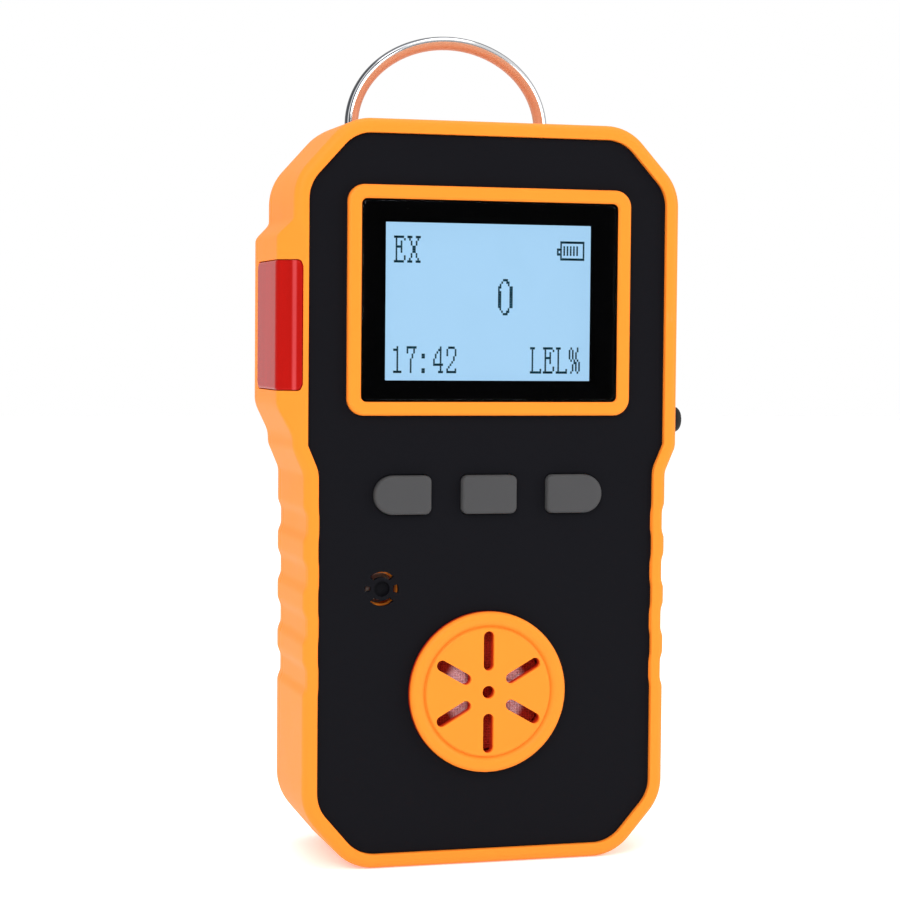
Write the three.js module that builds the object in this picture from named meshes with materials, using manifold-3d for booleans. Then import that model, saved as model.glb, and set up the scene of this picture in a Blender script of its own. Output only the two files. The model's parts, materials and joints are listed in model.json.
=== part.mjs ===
// Portable gas detector. Millimetres, +Z up. X is right as seen from the front and the front faces -Y.
// Every piece is drawn with Y = 0 on the front of the panel; the group then moves the base to the origin.
import * as THREE from 'three';
import { mergeVertices } from 'three/addons/utils/BufferGeometryUtils.js';
import Module from 'manifold-3d';

const wasm = await Module();
wasm.setup();

// ---- Driving sizes -------------------------------------------------------------------------
const GAP = 0.3; // between a piece and whatever holds it
const EASE = 0.4; // eased edge of a raised part

// housing outline, seen from the front
const BODY_HEIGHT = 115;
const UPPER_HALF = 30.9;
const LOWER_HALF = 29.2;
const WAIST_Z = 62.8; // middle of the step between the two widths
const WAIST_RISE = 4;
const TOP_CHAMFER = [8.5, 9.4];
const FOOT_CHAMFER = [7.8, 9.1];
const CORNER_R = 8;
const WAIST_R = 3;

// housing depth
const RIM_WIDTH = 2.4;
const RIM_PROUD = 0.7;
const RIM_ROUND = 1.05;
const PANEL_THICK = 0.9;
const FRONT_WALL = 2.2;
const SIDE_WALL = 1.8;
const SEAM_Y = 17.5;
const BACK_Y = 27;
const BACK_ROUND = 6;
const BACK_WALL = 1.8;

// grip
const GRIP_COUNT = 4;
const GRIP_TOP_Z = 53.2;
const GRIP_PITCH = 7.87;
const GRIP_TALL = 3.9;
const GRIP_DEEP = 0.5;

// display
const BEZEL_HALF = 22.65;
const BEZEL_Z = [69.8, 104.9];
const BEZEL_BAR = 2.1;
const BEZEL_PROUD = 1.1;
const BEZEL_R = 2.3;
const WINDOW_SINK = 0.4; // window face behind the bezel face
const WINDOW_THICK = 1.0;
const PICTURE_HALF = 16.6;
const PICTURE_Z = [75.16, 99.36];
const LCD_MARGIN = 2.6;
const LCD_THICK = 1.8;
const BACKLIGHT_THICK = 2.6;

// keys
const KEY_Z = 57.6;
const KEY_TALL = 6;
const KEY_MIDDLE_HALF = 4.4;
const KEY_OUTER_X = [9.3, 18.3];
const KEY_PROUD = 1.2;
const KEY_TRAVEL = 0.6;
const WEB_THICK = 1.2;

// sensor and sound port
const SENSOR_Z = 26.9;
const CAN_R = 10;
const CAN_LONG = 16.5;
const CAP_FLANGE = 2.5; // how far the cap reaches past the sensor can
const CAP_PROUD = 1.5;
const SLOT_COUNT = 6;
const SLOT_START_R = 3.35;
const SLOT_WIDE = 1.7;
const PIN_RING_R = 4.8; // the sensor's three pins
const PIN_R = 0.75;
const PORT_X = -16.85;
const PORT_Z = 43.2;
const PORT_R = 2.65;
const BUZZER_R = 4;

// lamp boss on the left side
const BOSS_PROUD = 2.2;
const BOSS_Z = [66.8, 99.3];
const LENS_Z = [73.6, 93.3];
const LENS_BACK_Y = 16.6;
const LENS_THICK = 1.5;

// right side socket
const SOCKET_Z = 68.95;
const SOCKET_Y = 6.4;
const PLUG_R = 2.1;
const PLUG_PROUD = 2.9;
const PLUG_STEM_R = 1.5;

// boards and battery
const PCB_Y = 9.5;
const PCB_THICK = 1.6;
const PCB_HALF = 22;
const PCB_Z = [38.4, 108.6];
const BATTERY_HALF = 17;
const BATTERY_Z = [50, 100];
const BATTERY_THICK = 9.6;
const MOTOR_R = 3;

// fasteners
const CASE_SCREWS = [[-24.9, 99], [24.9, 99], [-23.2, 14], [23.2, 14]];
const BOARD_SCREWS = [[-18.6, 105.4], [18.6, 105.4], [-18.6, 49.6], [18.6, 49.6]];
const POST_R = 2.5;
const BOARD_POST_R = 2;
const POST_END_Y = 12; // where the posts of the two shells meet
const HEAD_DEPTH = 5.5; // seat of the case screws' heads in front of the back
const CASE_SHANK_R = 1;
const CASE_HEAD_R = 2;
const BOARD_SHANK_R = 0.7;

// hanging ring
const RING_AHEAD = 1; // ring bar in front of the back
const RING_DROP = 7; // and below the top
const RING_HALF = 16.1;
const RING_WIRE_R = 1.1;
const RING_BOW = 13.8;
const RING_LEG = 8.2;
const LUG_HALF = 9;

// belt clip
const CLIP_HALF = 7.5;
const CLIP_Z = [50, 96];
const CLIP_SHEET = 1;
const CLIP_PIN_RISE = 4.4; // pin axis behind the back
const CLIP_PIN_Z = 80;
const CLIP_PIN_R = 1;
const CLIP_SCREW_Z = 66;
const CLIP_SHANK_R = 1.2;
const INSERT_R = 2.2;

// label on the back
const LABEL_HALF = 17;
const LABEL_Z = [14, 42];
const LABEL_SINK = 0.5;

// sizes worked out from those above
const FLOOR_Y = PANEL_THICK + GAP; // bottom of the recess under the panel
const INSIDE_Y = FLOOR_Y + FRONT_WALL;
const PCB_BACK = PCB_Y + PCB_THICK;
const REAR_START = SEAM_Y + GAP;
const INNER_BACK = BACK_Y - BACK_WALL;
const BATTERY_Y = PCB_BACK + 2 * GAP + 1.3;
const BEZEL_FACE = -BEZEL_PROUD;
const WINDOW_Y = BEZEL_FACE + WINDOW_SINK;
const GASKET_Y = WINDOW_Y + WINDOW_THICK + GAP;
const GASKET_THICK = 0.6;
const LEDGE_Y = GASKET_Y + GASKET_THICK + GAP;
const LCD_Y = INSIDE_Y + GAP;
const CAN_Y = 2.4;
const CAP_R = CAN_R + CAP_FLANGE;
const CAP_BORE_R = CAN_R - 0.5; // the mesh and the slots stay inside it
const BOSS_X = -(UPPER_HALF + BOSS_PROUD);
const CASE_HEAD_Y = BACK_Y - HEAD_DEPTH;
const RING_Y = BACK_Y - RING_AHEAD;
const RING_Z = BODY_HEIGHT - RING_DROP;
const CLIP_PIN = [BACK_Y + CLIP_PIN_RISE, CLIP_PIN_Z]; // Y and Z of the pin

// ---- Solids --------------------------------------------------------------------------------
function solid(geometry) {
  const bare = geometry.clone();
  bare.deleteAttribute('normal');
  bare.deleteAttribute('uv');
  const merged = mergeVertices(bare, 1e-4);
  return new wasm.Manifold(new wasm.Mesh({
    numProp: 3,
    vertProperties: new Float32Array(merged.attributes.position.array),
    triVerts: new Uint32Array(merged.index.array),
  }));
}

function surface(manifold) {
  const mesh = manifold.getMesh();
  const geometry = new THREE.BufferGeometry();
  geometry.setAttribute('position', new THREE.BufferAttribute(mesh.vertProperties, 3));
  geometry.setIndex(new THREE.BufferAttribute(mesh.triVerts, 1));
  const flat = geometry.toNonIndexed();
  flat.computeVertexNormals();
  return flat;
}

function join(solids) {
  return solids.reduce((whole, next) => whole.add(next));
}

// A shape in X and Z pushed along Y.
function prismY(shape, y0, y1, curveSegments = 8) {
  const geometry = new THREE.ExtrudeGeometry(shape, { depth: y1 - y0, bevelEnabled: false, curveSegments });
  geometry.rotateX(Math.PI / 2);
  geometry.translate(0, y1, 0);
  return solid(geometry);
}

// A shape in Y and Z pushed along X.
function prismX(shape, x0, x1, curveSegments = 8) {
  const geometry = new THREE.ExtrudeGeometry(shape, { depth: x1 - x0, bevelEnabled: false, curveSegments });
  geometry.rotateX(Math.PI / 2);
  geometry.rotateZ(Math.PI / 2);
  geometry.translate(x0, 0, 0);
  return solid(geometry);
}

// A shape in X and Y pushed along Z.
function prismZ(shape, z0, z1, curveSegments = 8) {
  const geometry = new THREE.ExtrudeGeometry(shape, { depth: z1 - z0, bevelEnabled: false, curveSegments });
  geometry.translate(0, 0, z0);
  return solid(geometry);
}

function block(x, y, z) {
  const geometry = new THREE.BoxGeometry(x[1] - x[0], y[1] - y[0], z[1] - z[0]);
  geometry.translate((x[0] + x[1]) / 2, (y[0] + y[1]) / 2, (z[0] + z[1]) / 2);
  return solid(geometry);
}

function rodY(x, z, radius, y0, y1, segments = 24) {
  const geometry = new THREE.CylinderGeometry(radius, radius, y1 - y0, segments);
  geometry.translate(x, (y0 + y1) / 2, z);
  return solid(geometry);
}

function rodX(y, z, radius, x0, x1, segments = 24) {
  const geometry = new THREE.CylinderGeometry(radius, radius, x1 - x0, segments);
  geometry.rotateZ(Math.PI / 2);
  geometry.translate((x0 + x1) / 2, y, z);
  return solid(geometry);
}

// A profile of [radius, y] points turned about the Y axis and moved to x, z.
function turnedY(profile, x, z, segments = 40) {
  const geometry = new THREE.LatheGeometry(profile.map(([r, y]) => new THREE.Vector2(r, y)), segments);
  geometry.translate(x, 0, z);
  return solid(geometry);
}

function tubeAlong(points, radius, steps, sides = 8) {
  const path = new THREE.CatmullRomCurve3(points.map((p) => new THREE.Vector3(...p)));
  const round = new THREE.Shape().absarc(0, 0, radius, 0, Math.PI * 2);
  return solid(new THREE.ExtrudeGeometry(round, { steps, extrudePath: path, curveSegments: sides }));
}

function roundedBox(x0, x1, z0, z1, radii) {
  const [r00, r10, r11, r01] = Array.isArray(radii) ? radii : [radii, radii, radii, radii];
  const shape = new THREE.Shape();
  shape.moveTo(x0 + r00, z0);
  shape.lineTo(x1 - r10, z0);
  shape.absarc(x1 - r10, z0 + r10, r10, -Math.PI / 2, 0);
  shape.lineTo(x1, z1 - r11);
  shape.absarc(x1 - r11, z1 - r11, r11, 0, Math.PI / 2);
  shape.lineTo(x0 + r01, z1);
  shape.absarc(x0 + r01, z1 - r01, r01, Math.PI / 2, Math.PI);
  shape.lineTo(x0, z0 + r00);
  shape.absarc(x0 + r00, z0 + r00, r00, Math.PI, Math.PI * 1.5);
  return shape;
}

function polygon(points) {
  return new THREE.Shape(points.map(([x, y]) => new THREE.Vector2(x, y)));
}

// ---- Housing outline -----------------------------------------------------------------------
function outlineCorners() {
  const half = [
    [LOWER_HALF - FOOT_CHAMFER[0], 0, CORNER_R],
    [LOWER_HALF, FOOT_CHAMFER[1], CORNER_R],
    [LOWER_HALF, WAIST_Z - WAIST_RISE / 2, WAIST_R],
    [UPPER_HALF, WAIST_Z + WAIST_RISE / 2, WAIST_R],
    [UPPER_HALF, BODY_HEIGHT - TOP_CHAMFER[1], CORNER_R],
    [UPPER_HALF - TOP_CHAMFER[0], BODY_HEIGHT, CORNER_R],
  ];
  return [...half, ...half.map(([x, z, r]) => [-x, z, r]).reverse()];
}

function insetCorners(corners, inset) {
  const count = corners.length;
  const edges = corners.map(([x, z], i) => {
    const [nx, nz] = corners[(i + 1) % count];
    const length = Math.hypot(nx - x, nz - z);
    const out = [(nz - z) / length, -(nx - x) / length];
    return { out, at: out[0] * x + out[1] * z - inset };
  });
  return corners.map(([, , radius], i) => {
    const a = edges[(i + count - 1) % count];
    const b = edges[i];
    const turn = a.out[0] * b.out[1] - a.out[1] * b.out[0];
    const x = (a.at * b.out[1] - b.at * a.out[1]) / turn;
    const z = (a.out[0] * b.at - b.out[0] * a.at) / turn;
    return [x, z, turn > 0 ? Math.max(radius - inset, 0.4) : radius + inset, Math.sign(turn)];
  });
}

// The points of the housing outline drawn in by an inset, always the same number of them.
function outline(inset) {
  const corners = insetCorners(outlineCorners(), inset);
  const count = corners.length;
  const points = [];
  corners.forEach(([x, z, radius, side], i) => {
    const before = corners[(i + count - 1) % count];
    const after = corners[(i + 1) % count];
    const into = Math.atan2(z - before[1], x - before[0]);
    const away = Math.atan2(after[1] - z, after[0] - x);
    const bend = Math.abs(Math.atan2(Math.sin(away - into), Math.cos(away - into)));
    const reach = radius * Math.tan(bend / 2);
    const start = [x - reach * Math.cos(into), z - reach * Math.sin(into)];
    const centre = [start[0] - side * radius * Math.sin(into), start[1] + side * radius * Math.cos(into)];
    const pieces = outlineCorners()[i][2] === CORNER_R ? 4 : 2;
    for (let k = 0; k <= pieces; k += 1) {
      const angle = into + side * (bend * k) / pieces - (side * Math.PI) / 2;
      points.push([centre[0] + radius * Math.cos(angle), centre[1] + radius * Math.sin(angle)]);
    }
  });
  return points;
}

// A closed solid through a stack of [y, inset] outlines.
function loft(levels) {
  const rings = levels.map(([, inset]) => outline(inset));
  const count = rings[0].length;
  const positions = [];
  levels.forEach(([y], i) => rings[i].forEach(([x, z]) => positions.push(x, y, z)));
  const index = [];
  for (let i = 0; i < levels.length - 1; i += 1) {
    for (let k = 0; k < count; k += 1) {
      const a = i * count + k;
      const b = i * count + ((k + 1) % count);
      index.push(a, b + count, b, a, a + count, b + count);
    }
  }
  const flat = (ring) => ring.map(([x, z]) => new THREE.Vector2(x, z));
  const cap = (ring) => THREE.ShapeUtils.triangulateShape(flat(ring), []);
  cap(rings[0]).forEach(([a, b, c]) => index.push(a, b, c));
  const last = (levels.length - 1) * count;
  cap(rings[rings.length - 1]).forEach(([a, b, c]) => index.push(last + a, last + c, last + b));
  const geometry = new THREE.BufferGeometry();
  geometry.setAttribute('position', new THREE.Float32BufferAttribute(positions, 3));
  geometry.setIndex(index);
  return solid(geometry);
}

function outlinePrism(inset, y0, y1) {
  return prismY(polygon(outline(inset)), y0, y1);
}

// ---- Shared cuts and features --------------------------------------------------------------
const SIDES = [-1, 1];
const CASE_TIP_Y = 5.8;
const BOARD_TIP_Y = 5;

// Shallow scallops across both long sides, cut in the front and the rear shell alike.
function gripCuts() {
  const cuts = [];
  for (let i = 0; i < GRIP_COUNT; i += 1) {
    const z = GRIP_TOP_Z - i * GRIP_PITCH;
    SIDES.forEach((side) => {
      const x = side * LOWER_HALF;
      const half = GRIP_TALL / 2;
      const scallop = polygon([
        [x + side, z - half - 1],
        [x - side * GRIP_DEEP, z - half + GRIP_DEEP],
        [x - side * GRIP_DEEP, z + half - GRIP_DEEP],
        [x + side, z + half + 1],
      ]);
      cuts.push(prismY(scallop, -RIM_PROUD - 1, BACK_Y + 1));
    });
  }
  return join(cuts);
}

// The lamp boss: a section seen from above, cut to sloping ends seen from the front.
function boss(y0, y1) {
  const inner = -(UPPER_HALF - 2 * SIDE_WALL);
  const section = polygon([
    [inner, -RIM_PROUD * 0.6],
    [-(UPPER_HALF - 1.35), -RIM_PROUD * 0.6],
    [BOSS_X + 0.25, 1.85],
    [BOSS_X, 2.5],
    [BOSS_X, BACK_Y - 6.2],
    [BOSS_X + 0.5, BACK_Y - 4.6],
    [BOSS_X + 2.1, BACK_Y - 2.8],
    [inner, BACK_Y - 2.2],
  ]);
  const front = polygon([
    [inner, BOSS_Z[0]],
    [-UPPER_HALF, BOSS_Z[0]],
    [BOSS_X, BOSS_Z[0] + 2 * BOSS_PROUD],
    [BOSS_X, BOSS_Z[1] - BOSS_PROUD],
    [-UPPER_HALF, BOSS_Z[1]],
    [inner, BOSS_Z[1]],
  ]);
  return prismZ(section, BOSS_Z[0] - 1, BOSS_Z[1] + 1).intersect(prismY(front, y0, y1));
}

// The lamp cover wraps the front edge of the boss; grow makes the pocket it sits in.
function lensSolid(grow) {
  const proud = 0.1;
  const edgeX = -(UPPER_HALF - 1.3);
  const section = [
    [edgeX, LENS_THICK],
    [BOSS_X + LENS_THICK, 1.9 + LENS_THICK],
    [BOSS_X + LENS_THICK, LENS_BACK_Y],
    [BOSS_X - proud, LENS_BACK_Y],
    [BOSS_X - proud, 2.5],
    [BOSS_X + 0.2, 1.85 - proud],
    [edgeX, -RIM_PROUD * 0.6 - proud],
  ].map((corner) => [...corner, 1]);
  const grown = insetCorners(section, -grow).map(([x, y]) => [x, y]);
  return prismZ(polygon(grown), LENS_Z[0] - grow, LENS_Z[1] + grow);
}

function keyShape(index, grow) {
  const half = KEY_TALL / 2 + grow;
  const small = 1 + grow;
  const round = half - 0.02;
  const [near, far] = KEY_OUTER_X;
  if (index === 0) {
    return roundedBox(-far - grow, -near + grow, KEY_Z - half, KEY_Z + half, [round, small, small, round]);
  }
  if (index === 2) {
    return roundedBox(near - grow, far + grow, KEY_Z - half, KEY_Z + half, [small, round, round, small]);
  }
  const reach = KEY_MIDDLE_HALF + grow;
  return roundedBox(-reach, reach, KEY_Z - half, KEY_Z + half, small);
}

const KEY_CENTRES = [-(KEY_OUTER_X[0] + KEY_OUTER_X[1]) / 2, 0, (KEY_OUTER_X[0] + KEY_OUTER_X[1]) / 2];

// The bezel outline, drawn in or out.
function bezelShape(grow, radius) {
  return roundedBox(-BEZEL_HALF - grow, BEZEL_HALF + grow, BEZEL_Z[0] - grow, BEZEL_Z[1] + grow, radius);
}

// ---- Housing -------------------------------------------------------------------------------
function frontShell() {
  let body = loft([
    [-RIM_PROUD, RIM_ROUND],
    [-RIM_PROUD + 0.1 * RIM_ROUND, 0.55 * RIM_ROUND],
    [-RIM_PROUD + 0.45 * RIM_ROUND, 0.15 * RIM_ROUND],
    [-RIM_PROUD + RIM_ROUND, 0],
    [SEAM_Y, 0],
  ]);
  body = body.add(boss(-RIM_PROUD, SEAM_Y));
  body = body.subtract(outlinePrism(RIM_WIDTH - GAP, -RIM_PROUD - 1, FLOOR_Y));
  body = body.subtract(outlinePrism(SIDE_WALL, INSIDE_Y, SEAM_Y + 1));
  body = body.subtract(gripCuts());

  // bezel with eased edges
  const eased = [
    prismY(bezelShape(0, BEZEL_R), BEZEL_FACE + EASE, INSIDE_Y, 2),
    prismY(bezelShape(-EASE, BEZEL_R - EASE), BEZEL_FACE, BEZEL_FACE + 2 * EASE, 2),
  ];
  body = body.add(join(eased));
  body = body.subtract(prismY(bezelShape(-BEZEL_BAR, 0.8), BEZEL_FACE - 1, LEDGE_Y, 2));
  body = body.subtract(prismY(bezelShape(-BEZEL_BAR - 1.5, 0.5), LEDGE_Y - 1, INSIDE_Y + 1, 1));

  // openings in the front wall
  [0, 1, 2].forEach((i) => {
    body = body.subtract(prismY(keyShape(i, GAP), FLOOR_Y - 1, INSIDE_Y + 1, 1));
  });
  body = body.add(rodY(0, SENSOR_Z, CAP_R + 2 * GAP + 0.9, INSIDE_Y - 0.5, INSIDE_Y + 5.5, 32));
  body = body.subtract(rodY(0, SENSOR_Z, CAN_R + 2 * GAP, FLOOR_Y - 1, INSIDE_Y + 6, 32));
  body = body.subtract(rodY(0, SENSOR_Z, CAP_R + GAP, FLOOR_Y - 1, CAN_Y, 32));
  body = body.subtract(rodY(0, SENSOR_Z, CAP_R - GAP, INSIDE_Y, INSIDE_Y + 6, 32));
  body = body.subtract(rodY(PORT_X, PORT_Z, PORT_R - 0.55, FLOOR_Y - 1, INSIDE_Y + 1, 14));

  // posts with pilot holes
  CASE_SCREWS.forEach(([x, z]) => {
    body = body.add(rodY(x, z, POST_R, INSIDE_Y - 0.5, POST_END_Y, 14));
    body = body.subtract(rodY(x, z, CASE_SHANK_R + GAP, CASE_TIP_Y - 2 * GAP, POST_END_Y + 1, 10));
  });
  BOARD_SCREWS.forEach(([x, z]) => {
    body = body.add(rodY(x, z, BOARD_POST_R, INSIDE_Y - 0.5, PCB_Y - GAP, 12));
    body = body.subtract(rodY(x, z, BOARD_SHANK_R + GAP, BOARD_TIP_Y - GAP, PCB_Y, 10));
  });

  // pocket for the lamp cover and the window its light comes through
  body = body.subtract(lensSolid(GAP));
  body = body.subtract(block([BOSS_X, -(UPPER_HALF - SIDE_WALL) + 1], [5, LENS_BACK_Y - 2.1],
    [LENS_Z[0] + 2.4, LENS_Z[1] - 2.3]));

  // hole for the plug of the charging socket
  const hole = [UPPER_HALF - SIDE_WALL - 1, UPPER_HALF + 1];
  return body.subtract(rodX(SOCKET_Y, SOCKET_Z, PLUG_STEM_R + GAP, ...hole, 12));
}

function labelShape(grow) {
  const reach = LABEL_HALF + grow;
  return roundedBox(-reach, reach, LABEL_Z[0] - grow, LABEL_Z[1] + grow, 1.2 + grow);
}

function rearShell() {
  const arc = [15, 32, 50, 70, 90].map((t) => (t * Math.PI) / 180);
  const centre = BACK_Y - BACK_ROUND;
  const draft = 0.12;
  const outer = loft([
    [REAR_START, 0],
    [centre, draft],
    ...arc.map((t) => [centre + BACK_ROUND * Math.sin(t), draft + BACK_ROUND * (1 - Math.cos(t))]),
  ]);
  const hollow = loft([
    [REAR_START - 1, SIDE_WALL],
    [centre - 0.5, SIDE_WALL + draft],
    ...[32, 60, 90].map((t) => (t * Math.PI) / 180).map((t) => [
      centre - 0.5 + (INNER_BACK - centre + 0.5) * Math.sin(t),
      SIDE_WALL + draft + (BACK_ROUND - 1.5) * (1 - Math.cos(t)),
    ]),
  ]);
  const ringNotch = [RING_HALF + RING_WIRE_R + 2.2, RING_Z - 4.4, RING_Y - 2.6];
  const keep = block([-ringNotch[0] - BACK_WALL, ringNotch[0] + BACK_WALL],
    [ringNotch[2] - BACK_WALL, BACK_Y + 1], [ringNotch[1] - BACK_WALL, BODY_HEIGHT + 1]);
  let body = outer.add(boss(REAR_START, BACK_Y)).subtract(hollow.subtract(keep)).subtract(gripCuts());

  // recess behind the top for the ring, and the lug that holds its bar
  body = body.subtract(block([-ringNotch[0], ringNotch[0]], [ringNotch[2], BACK_Y + 1],
    [ringNotch[1], BODY_HEIGHT + 1]));
  const lugR = RING_WIRE_R + 1.8;
  const lug = [-LUG_HALF, LUG_HALF];
  body = body.add(rodX(RING_Y, RING_Z, lugR, ...lug));
  body = body.add(block(lug, [ringNotch[2] - 0.5, RING_Y], [RING_Z - lugR, RING_Z + lugR]));
  body = body.subtract(rodX(RING_Y, RING_Z, RING_WIRE_R + GAP, -LUG_HALF - 1, LUG_HALF + 1));

  // columns for the case screws
  CASE_SCREWS.forEach(([x, z]) => {
    body = body.add(rodY(x, z, POST_R, POST_END_Y + GAP, CASE_HEAD_Y, 14));
    body = body.add(rodY(x, z, POST_R + 0.9, CASE_HEAD_Y - 2, INNER_BACK - 0.4, 14));
    body = body.subtract(rodY(x, z, CASE_SHANK_R + GAP, POST_END_Y, CASE_HEAD_Y + 1, 10));
    body = body.subtract(rodY(x, z, CASE_HEAD_R + GAP, CASE_HEAD_Y, BACK_Y + 1, 14));
  });

  // boss and hole for the clip's threaded insert, and the recess of the label
  body = body.add(rodY(0, CLIP_SCREW_Z, INSERT_R + 1.2, INNER_BACK - 1.5, INNER_BACK + 0.5, 14));
  body = body.subtract(rodY(0, CLIP_SCREW_Z, INSERT_R + GAP, INNER_BACK - 2, BACK_Y + 1, 14));
  return body.subtract(prismY(labelShape(GAP), BACK_Y - LABEL_SINK, BACK_Y + 1, 3));
}

function shellSeal() {
  const outer = SIDE_WALL + 0.12 + GAP;
  return outlinePrism(outer, SEAM_Y - 1.3, SEAM_Y + 1.7)
    .subtract(outlinePrism(outer + 0.8, SEAM_Y - 2, SEAM_Y + 2));
}

function frontPanel() {
  let panel = outlinePrism(RIM_WIDTH, 0, PANEL_THICK);
  panel = panel.subtract(prismY(bezelShape(GAP, BEZEL_R + GAP), -1, 2, 2));
  [0, 1, 2].forEach((i) => {
    panel = panel.subtract(prismY(keyShape(i, GAP), -1, 2, 3));
  });
  panel = panel.subtract(rodY(0, SENSOR_Z, CAP_R + GAP, -1, 2, 32));
  [[90, 40], [270, 40], [0, 18], [180, 18]].forEach(([middle, half]) => {
    const a = ((middle - half) * Math.PI) / 180;
    const b = ((middle + half) * Math.PI) / 180;
    const arc = new THREE.Shape();
    arc.absarc(PORT_X, PORT_Z, PORT_R, a, b, false);
    arc.absarc(PORT_X, PORT_Z, PORT_R - 0.95, b, a, true);
    panel = panel.subtract(prismY(arc, -1, 2, 6));
  });
  return panel;
}

function rearLabel() {
  return prismY(labelShape(0), BACK_Y - LABEL_SINK + GAP / 2, BACK_Y, 3);
}

// A pan-head screw along Y, its head towards the back, with a cross recess.
function screw(x, z, tipY, headY, shankR, headR, headTall) {
  const top = headY + headTall;
  const body = turnedY([
    [0, tipY], [shankR, tipY], [shankR, headY], [headR, headY],
    [headR, headY + headTall * 0.55], [headR * 0.75, top], [0, top],
  ], x, z, 10);
  const arm = headR * 0.55;
  const slot = headR * 0.14;
  return body
    .subtract(block([x - arm, x + arm], [top - headTall * 0.45, top + 1], [z - slot, z + slot]))
    .subtract(block([x - slot, x + slot], [top - headTall * 0.45, top + 1], [z - arm, z + arm]));
}

// ---- Display -------------------------------------------------------------------------------
function displayWindow() {
  return prismY(bezelShape(-BEZEL_BAR - GAP, 0.6), WINDOW_Y, WINDOW_Y + WINDOW_THICK, 3);
}

function windowGasket() {
  const frame = prismY(bezelShape(-BEZEL_BAR - GAP, 0.6), GASKET_Y, GASKET_Y + GASKET_THICK, 3);
  return frame.subtract(block([-PICTURE_HALF, PICTURE_HALF], [0, LCD_Y], PICTURE_Z));
}

const LCD_X = [-PICTURE_HALF - LCD_MARGIN, PICTURE_HALF + LCD_MARGIN];
const LCD_Z = [PICTURE_Z[0] - LCD_MARGIN, PICTURE_Z[1] + LCD_MARGIN];
const BACKLIGHT_Y = LCD_Y + LCD_THICK + GAP;

function lcdGlass() {
  return block(LCD_X, [LCD_Y, LCD_Y + LCD_THICK], LCD_Z);
}

function lcdBacklight() {
  const y = [BACKLIGHT_Y, BACKLIGHT_Y + BACKLIGHT_THICK];
  return block([LCD_X[0] + 1, LCD_X[1] - 1], y, [LCD_Z[0] + 1, LCD_Z[1] - 1]);
}

// A thin ribbon from the foot of the display to the board.
function lcdFlex() {
  const thick = 0.3;
  const z = LCD_Z[0];
  const y = LCD_Y + LCD_THICK / 2;
  const end = PCB_Y - GAP;
  return prismX(polygon([
    [y, z - GAP], [y + thick, z - GAP], [y + thick, z - 1.2], [end - 1, z - 4], [end, z - 5],
    [end, z - 7.5], [end - thick, z - 7.5], [end - thick, z - 5.1], [end - 1.3, z - 4.2], [y, z - 1.35],
  ]), -11, 11);
}

// ---- Keys ----------------------------------------------------------------------------------
const SWITCH_TOP = PCB_Y - GAP - 1.5;

function key(index) {
  const eased = [
    prismY(keyShape(index, 0), -KEY_PROUD + EASE, INSIDE_Y + GAP + WEB_THICK, 3),
    prismY(keyShape(index, -EASE), -KEY_PROUD, -KEY_PROUD + 2 * EASE, 3),
  ];
  const plunger = rodY(KEY_CENTRES[index], KEY_Z, 1.4, INSIDE_Y, SWITCH_TOP - KEY_TRAVEL - 0.1, 10);
  return join(eased).add(plunger);
}

function keypadWeb() {
  const half = KEY_OUTER_X[1] + 2.7;
  const front = INSIDE_Y + GAP;
  let web = prismY(roundedBox(-half, half, KEY_Z - 5.5, KEY_Z + 5.5, 1.5), front, front + WEB_THICK, 3);
  [0, 1, 2].forEach((i) => {
    web = web.subtract(prismY(keyShape(i, GAP), INSIDE_Y, PCB_Y, 3));
  });
  return web;
}

function keySwitch(index) {
  const x = KEY_CENTRES[index];
  return block([x - 3, x + 3], [SWITCH_TOP + 0.4, PCB_Y - GAP], [KEY_Z - 3, KEY_Z + 3])
    .add(rodY(x, KEY_Z, 1.7, SWITCH_TOP, SWITCH_TOP + 1, 12));
}

// ---- Boards --------------------------------------------------------------------------------
function mainBoard() {
  let board = prismY(roundedBox(-PCB_HALF, PCB_HALF, PCB_Z[0], PCB_Z[1], 2), PCB_Y, PCB_BACK, 3);
  BOARD_SCREWS.forEach(([x, z]) => {
    board = board.subtract(rodY(x, z, BOARD_SHANK_R + GAP, PCB_Y - 1, PCB_BACK + 1, 10));
  });
  return board;
}

function controlChip() {
  return block([-4.5, 4.5], [PCB_Y - GAP - 1.1, PCB_Y - GAP], [44.6, 51.6]);
}

const LED_Y = 9.8;

function alarmBoard() {
  const outer = -(UPPER_HALF - SIDE_WALL) + 0.8;
  return block([outer, outer + 1], [LED_Y - 4.2, LED_Y + 4.2], [LENS_Z[0] + 3, LENS_Z[1] - 3]);
}

function alarmLed(z) {
  const foot = -(UPPER_HALF - SIDE_WALL) + 0.8 - GAP;
  const profile = [[0, 0], [1.5, 0], [1.5, 1.2], [1.15, 1.8], [0.6, 2.1], [0, 2.2]];
  const geometry = new THREE.LatheGeometry(profile.map(([r, y]) => new THREE.Vector2(r, y)), 16);
  geometry.rotateZ(Math.PI / 2);
  geometry.translate(foot, LED_Y, z);
  return solid(geometry);
}

function chargeSocket() {
  const half = 2.6;
  const x = [PCB_HALF - 0.8, UPPER_HALF - SIDE_WALL - GAP - 0.1];
  const outer = block(x, [SOCKET_Y - half, PCB_Y - GAP - 0.1], [SOCKET_Z - half, SOCKET_Z + half]);
  return outer.subtract(rodX(SOCKET_Y, SOCKET_Z, PLUG_STEM_R + GAP, PCB_HALF + 0.6, UPPER_HALF, 12));
}

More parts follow.
